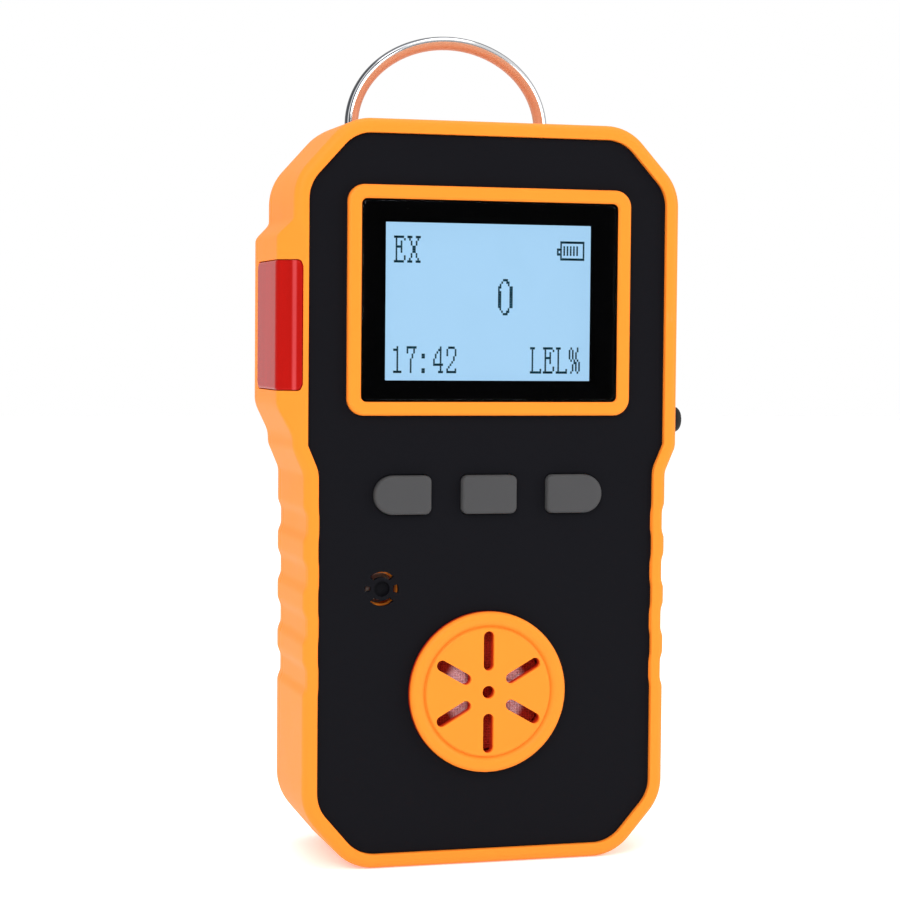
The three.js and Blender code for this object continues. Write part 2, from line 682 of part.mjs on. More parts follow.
function portPlug() {
  const tip = PCB_HALF + 1.6;
  const profile = [
    [0, tip], [PLUG_STEM_R - GAP, tip], [PLUG_STEM_R, tip + GAP], [PLUG_STEM_R, UPPER_HALF + GAP],
    [PLUG_R, UPPER_HALF + GAP], [PLUG_R, UPPER_HALF + PLUG_PROUD * 0.6],
    [PLUG_R * 0.86, UPPER_HALF + PLUG_PROUD * 0.84], [PLUG_R * 0.5, UPPER_HALF + PLUG_PROUD * 0.97],
    [0, UPPER_HALF + PLUG_PROUD],
  ];
  const geometry = new THREE.LatheGeometry(profile.map(([r, y]) => new THREE.Vector2(r, y)), 16);
  geometry.rotateZ(-Math.PI / 2);
  geometry.translate(0, SOCKET_Y, SOCKET_Z);
  return solid(geometry);
}

// ---- Sensor and sound ----------------------------------------------------------------------
function sensorCap() {
  const face = -CAP_PROUD;
  const inside = 0.5;
  let cap = turnedY([
    [0, face + 0.25], [CAP_R - 2.7, face + 0.25], [CAP_R - 2.35, face + 0.55], [CAP_R - 1.9, face + 0.3],
    [CAP_R - 1.4, face + 0.05], [CAP_R - 0.85, face], [CAP_R - 0.35, face + 0.2], [CAP_R, face + 0.75],
    [CAP_R, CAN_Y - GAP], [CAP_BORE_R, CAN_Y - GAP], [CAP_BORE_R, inside], [0, inside],
  ], 0, SENSOR_Z, 32);
  const slotHalf = SLOT_WIDE / 2;
  for (let i = 0; i < SLOT_COUNT; i += 1) {
    const slot = roundedBox(SLOT_START_R, CAP_BORE_R, -slotHalf, slotHalf, slotHalf - 0.01);
    const geometry = new THREE.ExtrudeGeometry(slot, { depth: 4, bevelEnabled: false, curveSegments: 2 });
    geometry.rotateZ(Math.PI / 2 + (i * Math.PI * 2) / SLOT_COUNT);
    geometry.rotateX(Math.PI / 2);
    geometry.translate(0, 2, SENSOR_Z);
    cap = cap.subtract(solid(geometry));
  }
  return cap.subtract(rodY(0, SENSOR_Z, 1.1, -3, 3, 12));
}

function sensorMesh() {
  return rodY(0, SENSOR_Z, CAP_BORE_R - GAP, 0.5 + GAP, 1.3, 32);
}

const PIN_PLACES = [90, 210, 330].map((t) => (t * Math.PI) / 180)
  .map((a) => [PIN_RING_R * Math.cos(a), SENSOR_Z + PIN_RING_R * Math.sin(a)]);

function sensorCell() {
  const back = CAN_Y + CAN_LONG;
  const can = turnedY([
    [0, CAN_Y], [CAN_R - 0.6, CAN_Y], [CAN_R, CAN_Y + 0.6],
    [CAN_R, back - 0.4], [CAN_R - 0.4, back], [0, back],
  ], 0, SENSOR_Z, 32);
  return can.add(join(PIN_PLACES.map(([x, z]) => rodY(x, z, PIN_R, back - 0.5, back + 2.4, 10))));
}

function sensorGasket() {
  return rodY(0, SENSOR_Z, CAP_R - 2 * GAP, INSIDE_Y + GAP, INSIDE_Y + GAP + 1.2, 32)
    .subtract(rodY(0, SENSOR_Z, CAN_R + GAP, INSIDE_Y, INSIDE_Y + 3, 32));
}

const SOCKET_RING_Y = CAN_Y + CAN_LONG + GAP;
const SENSOR_BOARD_Y = SOCKET_RING_Y + 3 + GAP;

function sensorSocket() {
  const ring = rodY(0, SENSOR_Z, PIN_RING_R + 2.7, SOCKET_RING_Y, SOCKET_RING_Y + 3, 32);
  return ring.subtract(join(PIN_PLACES.map(([x, z]) => rodY(x, z, PIN_R + GAP, 0, BACK_Y, 10))));
}

function sensorBoard() {
  const half = CAN_R + 2.5;
  const shape = roundedBox(-half, half, SENSOR_Z - half, PCB_Z[0] + 5.4, 1.5);
  return prismY(shape, SENSOR_BOARD_Y, SENSOR_BOARD_Y + 1.2, 3);
}

function boardHeader() {
  return block([-6, 6], [PCB_BACK + GAP, SENSOR_BOARD_Y - GAP], [PCB_Z[0] + 1, PCB_Z[0] + 3.6]);
}

function buzzer() {
  return rodY(PORT_X, PORT_Z, BUZZER_R, INSIDE_Y + 0.9, PCB_Y - GAP, 28)
    .subtract(rodY(PORT_X, PORT_Z, 1.1, INSIDE_Y, INSIDE_Y + 2.4, 10));
}

function buzzerMembrane() {
  return rodY(PORT_X, PORT_Z, BUZZER_R - 0.6, INSIDE_Y + GAP, INSIDE_Y + 0.6, 24);
}

const MOTOR = { y: PCB_BACK + GAP + 0.8 + GAP + MOTOR_R, z: 44.2, x: [6, 16.5] };

function vibrationMotor() {
  return rodX(MOTOR.y, MOTOR.z, MOTOR_R, MOTOR.x[0], MOTOR.x[1], 24)
    .subtract(rodX(MOTOR.y, MOTOR.z, 0.5 + GAP, MOTOR.x[1] - 4, MOTOR.x[1] + 1, 10));
}

function motorCradle() {
  const reach = MOTOR_R + 1.2;
  const x = [MOTOR.x[0] + 1, MOTOR.x[1] - 1.5];
  return block(x, [PCB_BACK + GAP, MOTOR.y - 0.6], [MOTOR.z - reach, MOTOR.z + reach])
    .subtract(rodX(MOTOR.y, MOTOR.z, MOTOR_R + GAP, MOTOR.x[0], MOTOR.x[1], 24));
}

function vibrationWeight() {
  const radius = MOTOR_R - 0.2;
  const half = new THREE.Shape().absarc(MOTOR.y, MOTOR.z, radius, 0, Math.PI);
  half.lineTo(MOTOR.y - radius, MOTOR.z - 0.9);
  half.lineTo(MOTOR.y + radius, MOTOR.z - 0.9);
  return prismX(half, MOTOR.x[1] + 0.8, MOTOR.x[1] + 4.4, 8)
    .add(rodX(MOTOR.y, MOTOR.z, 0.5, MOTOR.x[1] - 3.5, MOTOR.x[1] + 4.8, 10));
}

// ---- Battery -------------------------------------------------------------------------------
function batteryCell() {
  const half = BATTERY_THICK / 2;
  const section = roundedBox(-BATTERY_HALF, BATTERY_HALF, BATTERY_Y, BATTERY_Y + BATTERY_THICK, half * 0.5);
  return prismZ(section, BATTERY_Z[0], BATTERY_Z[1], 4);
}

function batteryPad() {
  const half = BATTERY_HALF - 2;
  return block([-half, half], [PCB_BACK + GAP, BATTERY_Y - GAP], [BATTERY_Z[0] + 4, BATTERY_Z[1] - 6]);
}

const PLUG_BLOCK = { x: [2, 10], y: [PCB_BACK + GAP, PCB_BACK + GAP + 4], z: [102.6, 106.4] };
const LEAD_R = 0.6;

function batteryConnector() {
  const middle = (PLUG_BLOCK.z[0] + PLUG_BLOCK.z[1]) / 2;
  let body = block(PLUG_BLOCK.x, PLUG_BLOCK.y, PLUG_BLOCK.z);
  [4, 8].forEach((x) => {
    body = body.subtract(rodY(x, middle, LEAD_R + GAP, PLUG_BLOCK.y[1] - 2, PLUG_BLOCK.y[1] + 1, 10));
  });
  return body;
}

function batteryLead(x) {
  const middle = (PLUG_BLOCK.z[0] + PLUG_BLOCK.z[1]) / 2;
  const y = PLUG_BLOCK.y[1];
  return tubeAlong([
    [x, y - 1.5, middle], [x, y - 0.4, middle], [x, y + 0.8, middle - 0.1], [x, y + 1.9, middle - 1.1],
    [x, y + 2.3, middle - 2.6], [x, y + 2.3, BATTERY_Z[1] + GAP],
  ], LEAD_R, 9, 4);
}

// ---- Ring ----------------------------------------------------------------------------------
function hangRing() {
  const corner = 3;
  const points = [];
  const put = (x, z) => points.push(new THREE.Vector3(x, RING_Y, z));
  for (let i = 0; i <= 3; i += 1) put(-RING_HALF + corner + ((RING_HALF - corner) * 2 * i) / 3, RING_Z);
  for (let i = 1; i <= 4; i += 1) {
    const a = (i / 5) * (Math.PI / 2);
    put(RING_HALF - corner + corner * Math.sin(a), RING_Z + corner * (1 - Math.cos(a)));
  }
  for (let i = 0; i <= 24; i += 1) {
    const a = (i / 24) * Math.PI;
    put(RING_HALF * Math.cos(a), RING_Z + RING_LEG + RING_BOW * Math.sin(a));
  }
  for (let i = 4; i >= 1; i -= 1) {
    const a = (i / 5) * (Math.PI / 2);
    put(-RING_HALF + corner - corner * Math.sin(a), RING_Z + corner * (1 - Math.cos(a)));
  }
  const path = new THREE.CatmullRomCurve3(points, true, 'centripetal');
  return solid(new THREE.TubeGeometry(path, 52, RING_WIRE_R, 8, true));
}

// ---- Belt clip -----------------------------------------------------------------------------
const PLATE_Y = BACK_Y + GAP;
const CHEEK_X = [CLIP_HALF - 2.4, CLIP_HALF - 1.4];

function clipPlate() {
  const [pinY, pinZ] = CLIP_PIN;
  const shape = roundedBox(-CLIP_HALF, CLIP_HALF, CLIP_Z[0], CLIP_Z[1], 2);
  let plate = prismY(shape, PLATE_Y, PLATE_Y + CLIP_SHEET, 3);
  SIDES.forEach((side) => {
    const a = side * CLIP_HALF;
    const b = side * (CLIP_HALF - CLIP_SHEET);
    const ear = polygon([
      [PLATE_Y + 0.2, pinZ - 6], [pinY + 0.6, pinZ - 2.4], [pinY + 2.2, pinZ - 1.2],
      [pinY + 2.2, pinZ + 1.2], [pinY + 0.6, pinZ + 2.4], [PLATE_Y + 0.2, pinZ + 6],
    ]);
    plate = plate.add(prismX(ear, Math.min(a, b), Math.max(a, b)));
  });
  return plate
    .subtract(rodX(pinY, pinZ, CLIP_PIN_R + GAP, -CLIP_HALF - 1, CLIP_HALF + 1, 12))
    .subtract(rodY(0, CLIP_SCREW_Z, CLIP_SHANK_R + 2 * GAP, PLATE_Y - 1, PLATE_Y + 2, 12));
}

function clipLever() {
  const [pinY, pinZ] = CLIP_PIN;
  const top = pinY + 3;
  const arm = polygon([
    [top + 3.0, pinZ + 18], [top + 4.0, pinZ + 17.8], [top + 1, pinZ + 5], [top + 1, pinZ - 5],
    [PLATE_Y + 3.6, CLIP_Z[0] + 6.2], [PLATE_Y + 3.2, CLIP_Z[0] + 4.4], [PLATE_Y + 5.0, CLIP_Z[0] + 0.4],
    [PLATE_Y + 4.1, CLIP_Z[0]], [PLATE_Y + CLIP_SHEET + GAP + 0.2, CLIP_Z[0] + 3.8],
    [PLATE_Y + CLIP_SHEET + GAP + 1.2, CLIP_Z[0] + 4.9], [PLATE_Y + CLIP_SHEET + GAP + 0.2, CLIP_Z[0] + 6],
    [PLATE_Y + CLIP_SHEET + GAP + 1.6, CLIP_Z[0] + 6.8], [top, pinZ - 5.2], [top, pinZ + 5.2],
  ]);
  let lever = prismX(arm, -CHEEK_X[1], CHEEK_X[1]);
  SIDES.forEach((side) => {
    const cheek = polygon([
      [pinY - 2.2, pinZ - 1.4], [pinY - 1.2, pinZ - 2.4], [top + 0.3, pinZ - 5], [top + 0.3, pinZ + 5],
      [pinY - 1.2, pinZ + 2.4], [pinY - 2.2, pinZ + 1.4],
    ]);
    const span = [side * CHEEK_X[0], side * CHEEK_X[1]].sort((p, q) => p - q);
    lever = lever.add(prismX(cheek, ...span));
  });
  return lever
    .subtract(rodX(pinY, pinZ, CLIP_PIN_R + GAP, -CLIP_HALF, CLIP_HALF, 12))
    .subtract(rodY(0, CLIP_SCREW_Z, 2.6, PLATE_Y + 2, top + 4, 14));
}

function clipPin() {
  const [y, z] = CLIP_PIN;
  const head = CLIP_HALF + GAP;
  return join([
    rodX(y, z, CLIP_PIN_R, -head - 0.2, head + 0.2, 12),
    rodX(y, z, CLIP_PIN_R + 0.8, head, head + 0.8, 12),
    rodX(y, z, CLIP_PIN_R + 0.8, -head - 0.8, -head, 12),
  ]);
}

// A torsion spring round the pin, one leg on the plate and one under the lever.
function clipSpring() {
  const [y, z] = CLIP_PIN;
  const wire = 0.35;
  const radius = CLIP_PIN_R + GAP + wire + 0.05;
  const turns = 3;
  const span = CHEEK_X[0] - 1.2;
  const points = [new THREE.Vector3(-span, PLATE_Y + CLIP_SHEET + GAP + wire, z + 9)];
  const steps = turns * 10;
  for (let i = 0; i <= steps; i += 1) {
    const t = i / steps;
    const a = Math.PI + t * turns * Math.PI * 2;
    const x = -span + 2 * span * t;
    points.push(new THREE.Vector3(x, y + radius * Math.cos(a), z - radius * Math.sin(a)));
  }
  points.push(new THREE.Vector3(span, y + 3 + GAP, z + 9));
  const path = new THREE.CatmullRomCurve3(points, false, 'centripetal');
  const round = new THREE.Shape().absarc(0, 0, wire, 0, Math.PI * 2);
  return solid(new THREE.ExtrudeGeometry(round, { steps: 64, extrudePath: path, curveSegments: 3 }));
}

function clipInsert() {
  return rodY(0, CLIP_SCREW_Z, INSERT_R, INNER_BACK - 1.5, BACK_Y - 0.1, 14)
    .subtract(rodY(0, CLIP_SCREW_Z, CLIP_SHANK_R + GAP, 0, BACK_Y + 1, 10));
}

// ---- Assembly ------------------------------------------------------------------------------
const FINISH = {
  orange: [0xff8c1a, 0.5, 0],
  black: [0x141417, 0.6, 0],
  rubber: [0x46464a, 0.8, 0],
  blackRubber: [0x101011, 0.8, 0],
  clear: [0xdfe8ee, 0.05, 0],
  screen: [0xaad7f7, 0.2, 0],
  white: [0xf2f2ee, 0.6, 0],
  amber: [0xb5762a, 0.5, 0],
  red: [0xc01812, 0.15, 0],
  board: [0x1f5a33, 0.5, 0],
  steel: [0xc8cace, 0.25, 1],
  darkSteel: [0x8a8d92, 0.4, 1],
  brass: [0xc9a24a, 0.35, 1],
  blackPlastic: [0x1b1b1d, 0.45, 0],
  wrap: [0x2b6fb3, 0.4, 0],
  foam: [0x2c2c2e, 0.95, 0],
  redWire: [0xb3191a, 0.5, 0],
};

const detector = new THREE.Group();
detector.name = 'gas_detector';
detector.position.y = -BACK_Y / 2;

function piece(name, manifold, finish) {
  const [color, roughness, metalness] = FINISH[finish];
  const material = new THREE.MeshStandardMaterial({ color, roughness, metalness });
  const mesh = new THREE.Mesh(surface(manifold), material);
  mesh.name = name;
  detector.add(mesh);
}

piece('front_shell', frontShell(), 'orange');
piece('rear_shell', rearShell(), 'orange');
piece('shell_seal', shellSeal(), 'blackRubber');
piece('front_panel', frontPanel(), 'black');
piece('rear_label', rearLabel(), 'white');

piece('display_window', displayWindow(), 'clear');
piece('window_gasket', windowGasket(), 'blackRubber');
piece('lcd_glass', lcdGlass(), 'screen');
piece('lcd_backlight', lcdBacklight(), 'white');
piece('lcd_flex', lcdFlex(), 'amber');

['left', 'middle', 'right'].forEach((side, i) => {
  piece(`key_${side}`, key(i), 'rubber');
  piece(`key_switch_${side}`, keySwitch(i), 'blackPlastic');
});
piece('keypad_web', keypadWeb(), 'rubber');

piece('main_pcb', mainBoard(), 'board');
piece('control_chip', controlChip(), 'blackPlastic');
BOARD_SCREWS.forEach(([x, z], i) => {
  const made = screw(x, z, BOARD_TIP_Y, PCB_BACK + GAP, BOARD_SHANK_R, 1.5, 1.1);
  piece(`pcb_screw_${i + 1}`, made, 'darkSteel');
});
CASE_SCREWS.forEach(([x, z], i) => {
  const made = screw(x, z, CASE_TIP_Y, CASE_HEAD_Y + GAP, CASE_SHANK_R, CASE_HEAD_R, 1.7);
  piece(`case_screw_${i + 1}`, made, 'darkSteel');
});

piece('battery_cell', batteryCell(), 'wrap');
piece('battery_pad', batteryPad(), 'foam');
piece('battery_connector', batteryConnector(), 'white');
piece('battery_lead_red', batteryLead(4), 'redWire');
piece('battery_lead_black', batteryLead(8), 'blackRubber');

piece('sensor_cap', sensorCap(), 'orange');
piece('sensor_mesh', sensorMesh(), 'darkSteel');
piece('sensor_cell', sensorCell(), 'steel');
piece('sensor_gasket', sensorGasket(), 'blackRubber');
piece('sensor_socket', sensorSocket(), 'blackPlastic');
piece('sensor_board', sensorBoard(), 'board');
piece('board_header', boardHeader(), 'blackPlastic');
piece('buzzer', buzzer(), 'blackPlastic');
piece('buzzer_membrane', buzzerMembrane(), 'white');
piece('vibration_motor', vibrationMotor(), 'steel');
piece('vibration_weight', vibrationWeight(), 'darkSteel');
piece('motor_cradle', motorCradle(), 'blackRubber');

piece('alarm_lens', lensSolid(0), 'red');
piece('alarm_led_board', alarmBoard(), 'board');
piece('alarm_led_upper', alarmLed(LENS_Z[1] - 6.4), 'red');
piece('alarm_led_lower', alarmLed(LENS_Z[0] + 6.4), 'red');
piece('charge_socket', chargeSocket(), 'blackPlastic');
piece('port_plug', portPlug(), 'blackRubber');

piece('hang_ring', hangRing(), 'steel');
piece('clip_plate', clipPlate(), 'steel');
piece('clip_lever', clipLever(), 'steel');
piece('clip_pin', clipPin(), 'darkSteel');
piece('clip_spring', clipSpring(), 'darkSteel');
piece('clip_insert', clipInsert(), 'brass');
const clipHeadY = PLATE_Y + CLIP_SHEET + GAP;
piece('clip_screw', screw(0, CLIP_SCREW_Z, INNER_BACK - 0.9, clipHeadY, CLIP_SHANK_R, 2.3, 1.2), 'darkSteel');

export default detector;
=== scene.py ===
"""Looks of a portable gas detector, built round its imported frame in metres."""
import json
import logging
import math
from collections.abc import Callable, Iterable, Sequence
from dataclasses import dataclass, field, replace
from enum import Enum

import bmesh
import bpy
from mathutils import Matrix, Vector


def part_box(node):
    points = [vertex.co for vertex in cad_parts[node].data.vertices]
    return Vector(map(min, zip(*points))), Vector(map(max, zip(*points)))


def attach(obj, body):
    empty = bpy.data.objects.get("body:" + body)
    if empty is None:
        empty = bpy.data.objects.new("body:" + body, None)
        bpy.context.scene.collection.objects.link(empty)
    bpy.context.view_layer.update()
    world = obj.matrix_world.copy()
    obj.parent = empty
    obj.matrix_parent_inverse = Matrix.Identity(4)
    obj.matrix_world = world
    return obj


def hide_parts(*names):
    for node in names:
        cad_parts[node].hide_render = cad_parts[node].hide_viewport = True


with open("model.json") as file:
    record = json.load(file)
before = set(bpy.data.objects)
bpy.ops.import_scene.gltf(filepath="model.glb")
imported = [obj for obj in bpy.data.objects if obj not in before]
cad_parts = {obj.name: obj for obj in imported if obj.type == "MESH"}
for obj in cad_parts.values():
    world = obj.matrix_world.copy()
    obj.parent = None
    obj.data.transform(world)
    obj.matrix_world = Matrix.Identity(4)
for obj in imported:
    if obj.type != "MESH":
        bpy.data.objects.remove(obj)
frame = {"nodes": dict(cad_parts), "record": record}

MM = 0.001
PANEL_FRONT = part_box("front_panel")[0].y  # frame Y of the panel's front, from which depths are counted
HOUSING = "housing"
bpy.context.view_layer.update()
Pair = tuple[float, float]
Loop = list[Pair]
Colour = tuple[float, float, float]
Point = tuple[float, float, float]
log = logging.getLogger("detector")


# ---- Small tools ---------------------------------------------------------------------------
class Axis(Enum):
    """The axis that a section is pushed or turned along."""

    X = "X"
    Y = "Y"
    Z = "Z"


class Cut(Enum):
    """How two solids are combined."""

    ADD = "UNION"
    TAKE = "DIFFERENCE"


def box_mm(node: str) -> tuple[Pair, Pair, Pair]:
    """Reads a node's box.

    Args:
        node: Name of a node of the frame.

    Returns:
        Its lowest and highest X, depth behind the panel's front, and Z, in millimetres.
    """
    low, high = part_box(node)
    shift = Vector((0, PANEL_FRONT, 0))
    low, high = (low - shift) / MM, (high - shift) / MM
    return (low.x, high.x), (low.y, high.y), (low.z, high.z)


def to_frame(point: Point) -> Vector:
    """Moves a point in millimetres, with its depth counted from the panel's front, into the frame."""
    return Vector((point[0] * MM, point[1] * MM + PANEL_FRONT, point[2] * MM))


def smooth(t: float) -> float:
    """Turns 0 to 1 into a soft step."""
    t = min(max(t, 0.0), 1.0)
    return t * t * (3 - 2 * t)


def eased(t: float, soft: float = 0.22) -> float:
    """Turns 0 to 1 into a straight ramp with rounded ends.

    Args:
        t: Place along the ramp.
        soft: Half the length of each rounded end, as a share of the ramp.

    Returns:
        The ramp's height there, from 0 to 1.
    """
    if t <= -soft:
        return 0.0
    if t < soft:
        return (t + soft) ** 2 / (4 * soft)
    if t <= 1 - soft:
        return t
    if t < 1 + soft:
        return 1 - (1 + soft - t) ** 2 / (4 * soft)
    return 1.0


def spread(start: float, end: float, count: int) -> list[float]:
    """Gives count + 1 evenly spaced numbers from start to end."""
    return [start + (end - start) * i / count for i in range(count + 1)]


def quarter(radius: float, steps: int) -> Loop:
    """Gives the run and the rise of a rounded edge from its side to its face, ends included."""
    angles = [math.pi / 2 * i / steps for i in range(steps + 1)]
    return [(radius * (1 - math.cos(a)), radius * math.sin(a)) for a in angles]


def rounded(x: Pair, z: Pair, radii: Sequence[float], steps: int = 8, inset: float = 0) -> Loop:
    """Draws a rectangle with rounded corners.

    Args:
        x: Its two ends in X.
        z: Its two ends in Z.
        radii: Corner radii from the lower left, turning to the right.
        steps: Pieces of each corner.
        inset: How far its sides are moved in.

    Returns:
        Its points, the same number for the same steps.
    """
    (x0, x1), (z0, z1) = ((low + inset, high - inset) for low, high in (x, z))
    corners = ((x0, z0, 1, 1, 180), (x1, z0, -1, 1, 270), (x1, z1, -1, -1, 0), (x0, z1, 1, -1, 90))
    loop = []
    for (cx, cz, sx, sz, start), radius in zip(corners, radii):
        for i in range(steps + 1):
            a = math.radians(start + 90 * i / steps)
            loop.append((cx + sx * radius + radius * math.cos(a), cz + sz * radius + radius * math.sin(a)))
    return loop


def disc(x: float, z: float, radius: float, steps: int = 48) -> Loop:
    """Gives the points of a circle."""
    angles = [math.tau * i / steps for i in range(steps)]
    return [(x + radius * math.cos(a), z + radius * math.sin(a)) for a in angles]


def placed(name: str, data: bpy.types.ID) -> bpy.types.Object:
    """Puts a mesh, a light or a camera in the scene as a new object."""
    made = bpy.data.objects.new(name, data)
    bpy.context.scene.collection.objects.link(made)
    return made


def mend(mesh: bpy.types.Mesh, how: Callable[[bmesh.types.BMesh], None]) -> None:
    """Changes a mesh with bmesh operators."""
    work = bmesh.new()
    work.from_mesh(mesh)
    how(work)
    work.to_mesh(mesh)
    work.free()


def outwards(work: bmesh.types.BMesh) -> None:
    """Turns every face outwards."""
    bmesh.ops.recalc_face_normals(work, faces=work.faces)


def settle(piece: bpy.types.Object) -> bpy.types.Object:
    """Makes a piece's modifiers part of its mesh.

    Args:
        piece: The piece.

    Returns:
        The same piece, with no modifiers.
    """
    bpy.context.view_layer.update()
    graph = bpy.context.evaluated_depsgraph_get()
    final = piece.evaluated_get(graph)
    made = bpy.data.meshes.new_from_object(final, preserve_all_data_layers=True, depsgraph=graph)
    old = piece.data
    piece.modifiers.clear()
    piece.data = made
    made.name = piece.name
    if old.users == 0:
        bpy.data.meshes.remove(old)
    return piece


def combine(base: bpy.types.Object, tools: Iterable[bpy.types.Object], how: Cut) -> bpy.types.Object:
    """Adds tools to a solid or takes them from it, and removes them.

    Args:
        base: The solid that stays.
        tools: The closed shapes to combine with it.
        how: Add or take.

    Returns:
        The base.
    """
    for tool in tools:
        change = base.modifiers.new("combine", "BOOLEAN")
        change.operation = how.value
        change.solver = "MANIFOLD"
        change.object = tool
        settle(base)
        bpy.data.objects.remove(tool)
    return base


def shade(piece: bpy.types.Object, sharp: float, bevel: float = 0) -> bpy.types.Object:
    """Eases a piece's edges if asked, and shades it smooth with crisp edges and flat faces.

    Args:
        piece: The piece.
        sharp: Angle in degrees past which an edge stays crisp.
        bevel: Width of the eased edge in millimetres, or 0.

    Returns:
        The piece, with no modifiers.
    """
    if bevel:
        ease = piece.modifiers.new("ease", "BEVEL")
        ease.width = bevel * MM
        ease.segments = 2
        ease.limit_method = "ANGLE"
        ease.angle_limit = math.radians(sharp)
        ease.miter_outer = "MITER_ARC"
        settle(piece)
    mesh = piece.data
    mesh.polygons.foreach_set("use_smooth", [True] * len(mesh.polygons))
    mesh.set_sharp_from_angle(angle=math.radians(sharp))
    weigh = piece.modifiers.new("weigh", "WEIGHTED_NORMAL")
    weigh.keep_sharp = True
    return settle(piece)


class Draft:
    """Points and faces of a piece being drawn, in millimetres, with Y counted from the panel's front."""

    def __init__(self) -> None:
        """Starts with nothing drawn."""
        self.points: list[Point] = []
        self.faces: list[tuple[int, ...]] = []

    def ring(self, points: Iterable[Point]) -> list[int]:
        """Adds points and gives their numbers."""
        start = len(self.points)
        self.points.extend(points)
        return list(range(start, len(self.points)))

    def bridge(self, a: Sequence[int], b: Sequence[int], closed: bool = True) -> None:
        """Adds the quads between two rows of points of the same length."""
        for i in range(len(a) if closed else len(a) - 1):
            j = (i + 1) % len(a)
            self.faces.append((a[i], a[j], b[j], b[i]))

    def tower(self, rings: Iterable[Iterable[Point]], endless: bool = False) -> "Draft":
        """Draws a closed solid through a stack of rings.

        Args:
            rings: Rings with the same number of points.
            endless: Whether the last ring joins the first, as in a frame, instead of both being capped.

        Returns:
            The draft.
        """
        rows = [self.ring(points) for points in rings]
        for a, b in zip(rows, rows[1:]):
            self.bridge(a, b)
        if endless:
            self.bridge(rows[-1], rows[0])
        else:
            self.faces.append(tuple(reversed(rows[0])))
            self.faces.append(tuple(rows[-1]))
        return self

    def stack(
        self, loop: Callable[[float], Loop], levels: Iterable[Pair], endless: bool = False
    ) -> "Draft":
        """Draws a closed solid through levels of one outline.

        Args:
            loop: Gives the outline moved in by an inset.
            levels: Inset and depth of each level.
            endless: Whether the last level joins the first.

        Returns:
            The draft.
        """
        return self.tower(([(x, y, z) for x, z in loop(inset)] for inset, y in levels), endless)

    def prism(self, loop: Loop, start: float, end: float, axis: Axis = Axis.Y) -> "Draft":
        """Pushes a section along an axis.

        Args:
            loop: The section: X and Z along Y, Y and Z along X, X and Y along Z.
            start: Where it starts along the axis.
            end: Where it ends.
            axis: The axis.

        Returns:
            The draft.
        """
        place = {
            Axis.Y: lambda p, at: (p[0], at, p[1]),
            Axis.X: lambda p, at: (at, p[0], p[1]),
            Axis.Z: lambda p, at: (p[0], p[1], at),
        }[axis]
        return self.tower([place(p, at) for p in loop] for at in (start, end))

    def turn(self, profile: Loop, centre: Sequence[float], axis: Axis = Axis.Y, steps: int = 96) -> "Draft":
        """Turns a profile about an axis along Y or X.

        Args:
            profile: Radius and place along the axis, from pole to pole.
            centre: X and Z of a Y axis, or Y and Z of an X axis.
            axis: The axis.
            steps: Pieces round it.

        Returns:
            The draft.
        """
        def place(u: float, along: float, v: float) -> Point:
            """Puts a point round the centre."""
            a, b = centre[0] + u, centre[1] + v
            return (a, along, b) if axis is Axis.Y else (along, a, b)

        poles = self.ring(place(0, along, 0) for _, along in (profile[0], profile[-1]))
        rows = []
        for radius, along in profile[1:-1]:
            rows.append(self.ring(place(u, along, v) for u, v in disc(0, 0, radius, steps)))
        for a, b in zip(rows, rows[1:]):
            self.bridge(a, b)
        for pole, row in zip(poles, (rows[0], rows[-1])):
            for i in range(steps):
                self.faces.append((pole, row[i], row[(i + 1) % steps]))
        return self

    def tube(
        self, path: Sequence[Point], radius: float, sides: int, flat: Vector, closed: bool = False
    ) -> "Draft":
        """Draws a round wire along a path.

        Args:
            path: Points of its middle line.
            radius: Radius of the wire.
            sides: Pieces round it.
            flat: A direction that the path never runs along.
            closed: Whether the path ends where it starts.

        Returns:
            The draft.
        """
        knots = [Vector(p) for p in path]
        rings = []
        for i, knot in enumerate(knots):
            before = knots[i - 1] if closed or i else knot
            after = knots[(i + 1) % len(knots)] if closed or i + 1 < len(knots) else knot
            along = (after - before).normalized()
            out = along.cross(flat).normalized()
            other = out.cross(along)
            around = (out * math.cos(a) + other * math.sin(a) for a in spread(0, math.tau, sides)[:-1])
            rings.append([tuple(knot + radius * way) for way in around])
        return self.tower(rings, endless=closed)

    def build(self, name: str) -> bpy.types.Object:
        """Makes the drawn mesh an object with its faces outwards.

        Args:
            name: The object's name.

        Returns:
            The object.
        """
        mesh = bpy.data.meshes.new(name)
        mesh.from_pydata([to_frame(p) for p in self.points], [], self.faces)
        mend(mesh, outwards)
        return placed(name, mesh)


CAP_RADIUS = box_mm("sensor_cap")[0][1]
CAP_Z = sum(box_mm("sensor_cap")[2]) / 2


# ---- Shader expressions --------------------------------------------------------------------
def socket_of(sockets: Sequence[bpy.types.NodeSocket], key: str | int) -> bpy.types.NodeSocket:
    """Finds a socket by its number, its identifier or its name."""
    if isinstance(key, int):
        return sockets[key]
    return next((s for s in sockets if s.identifier == key), None) or sockets[key]


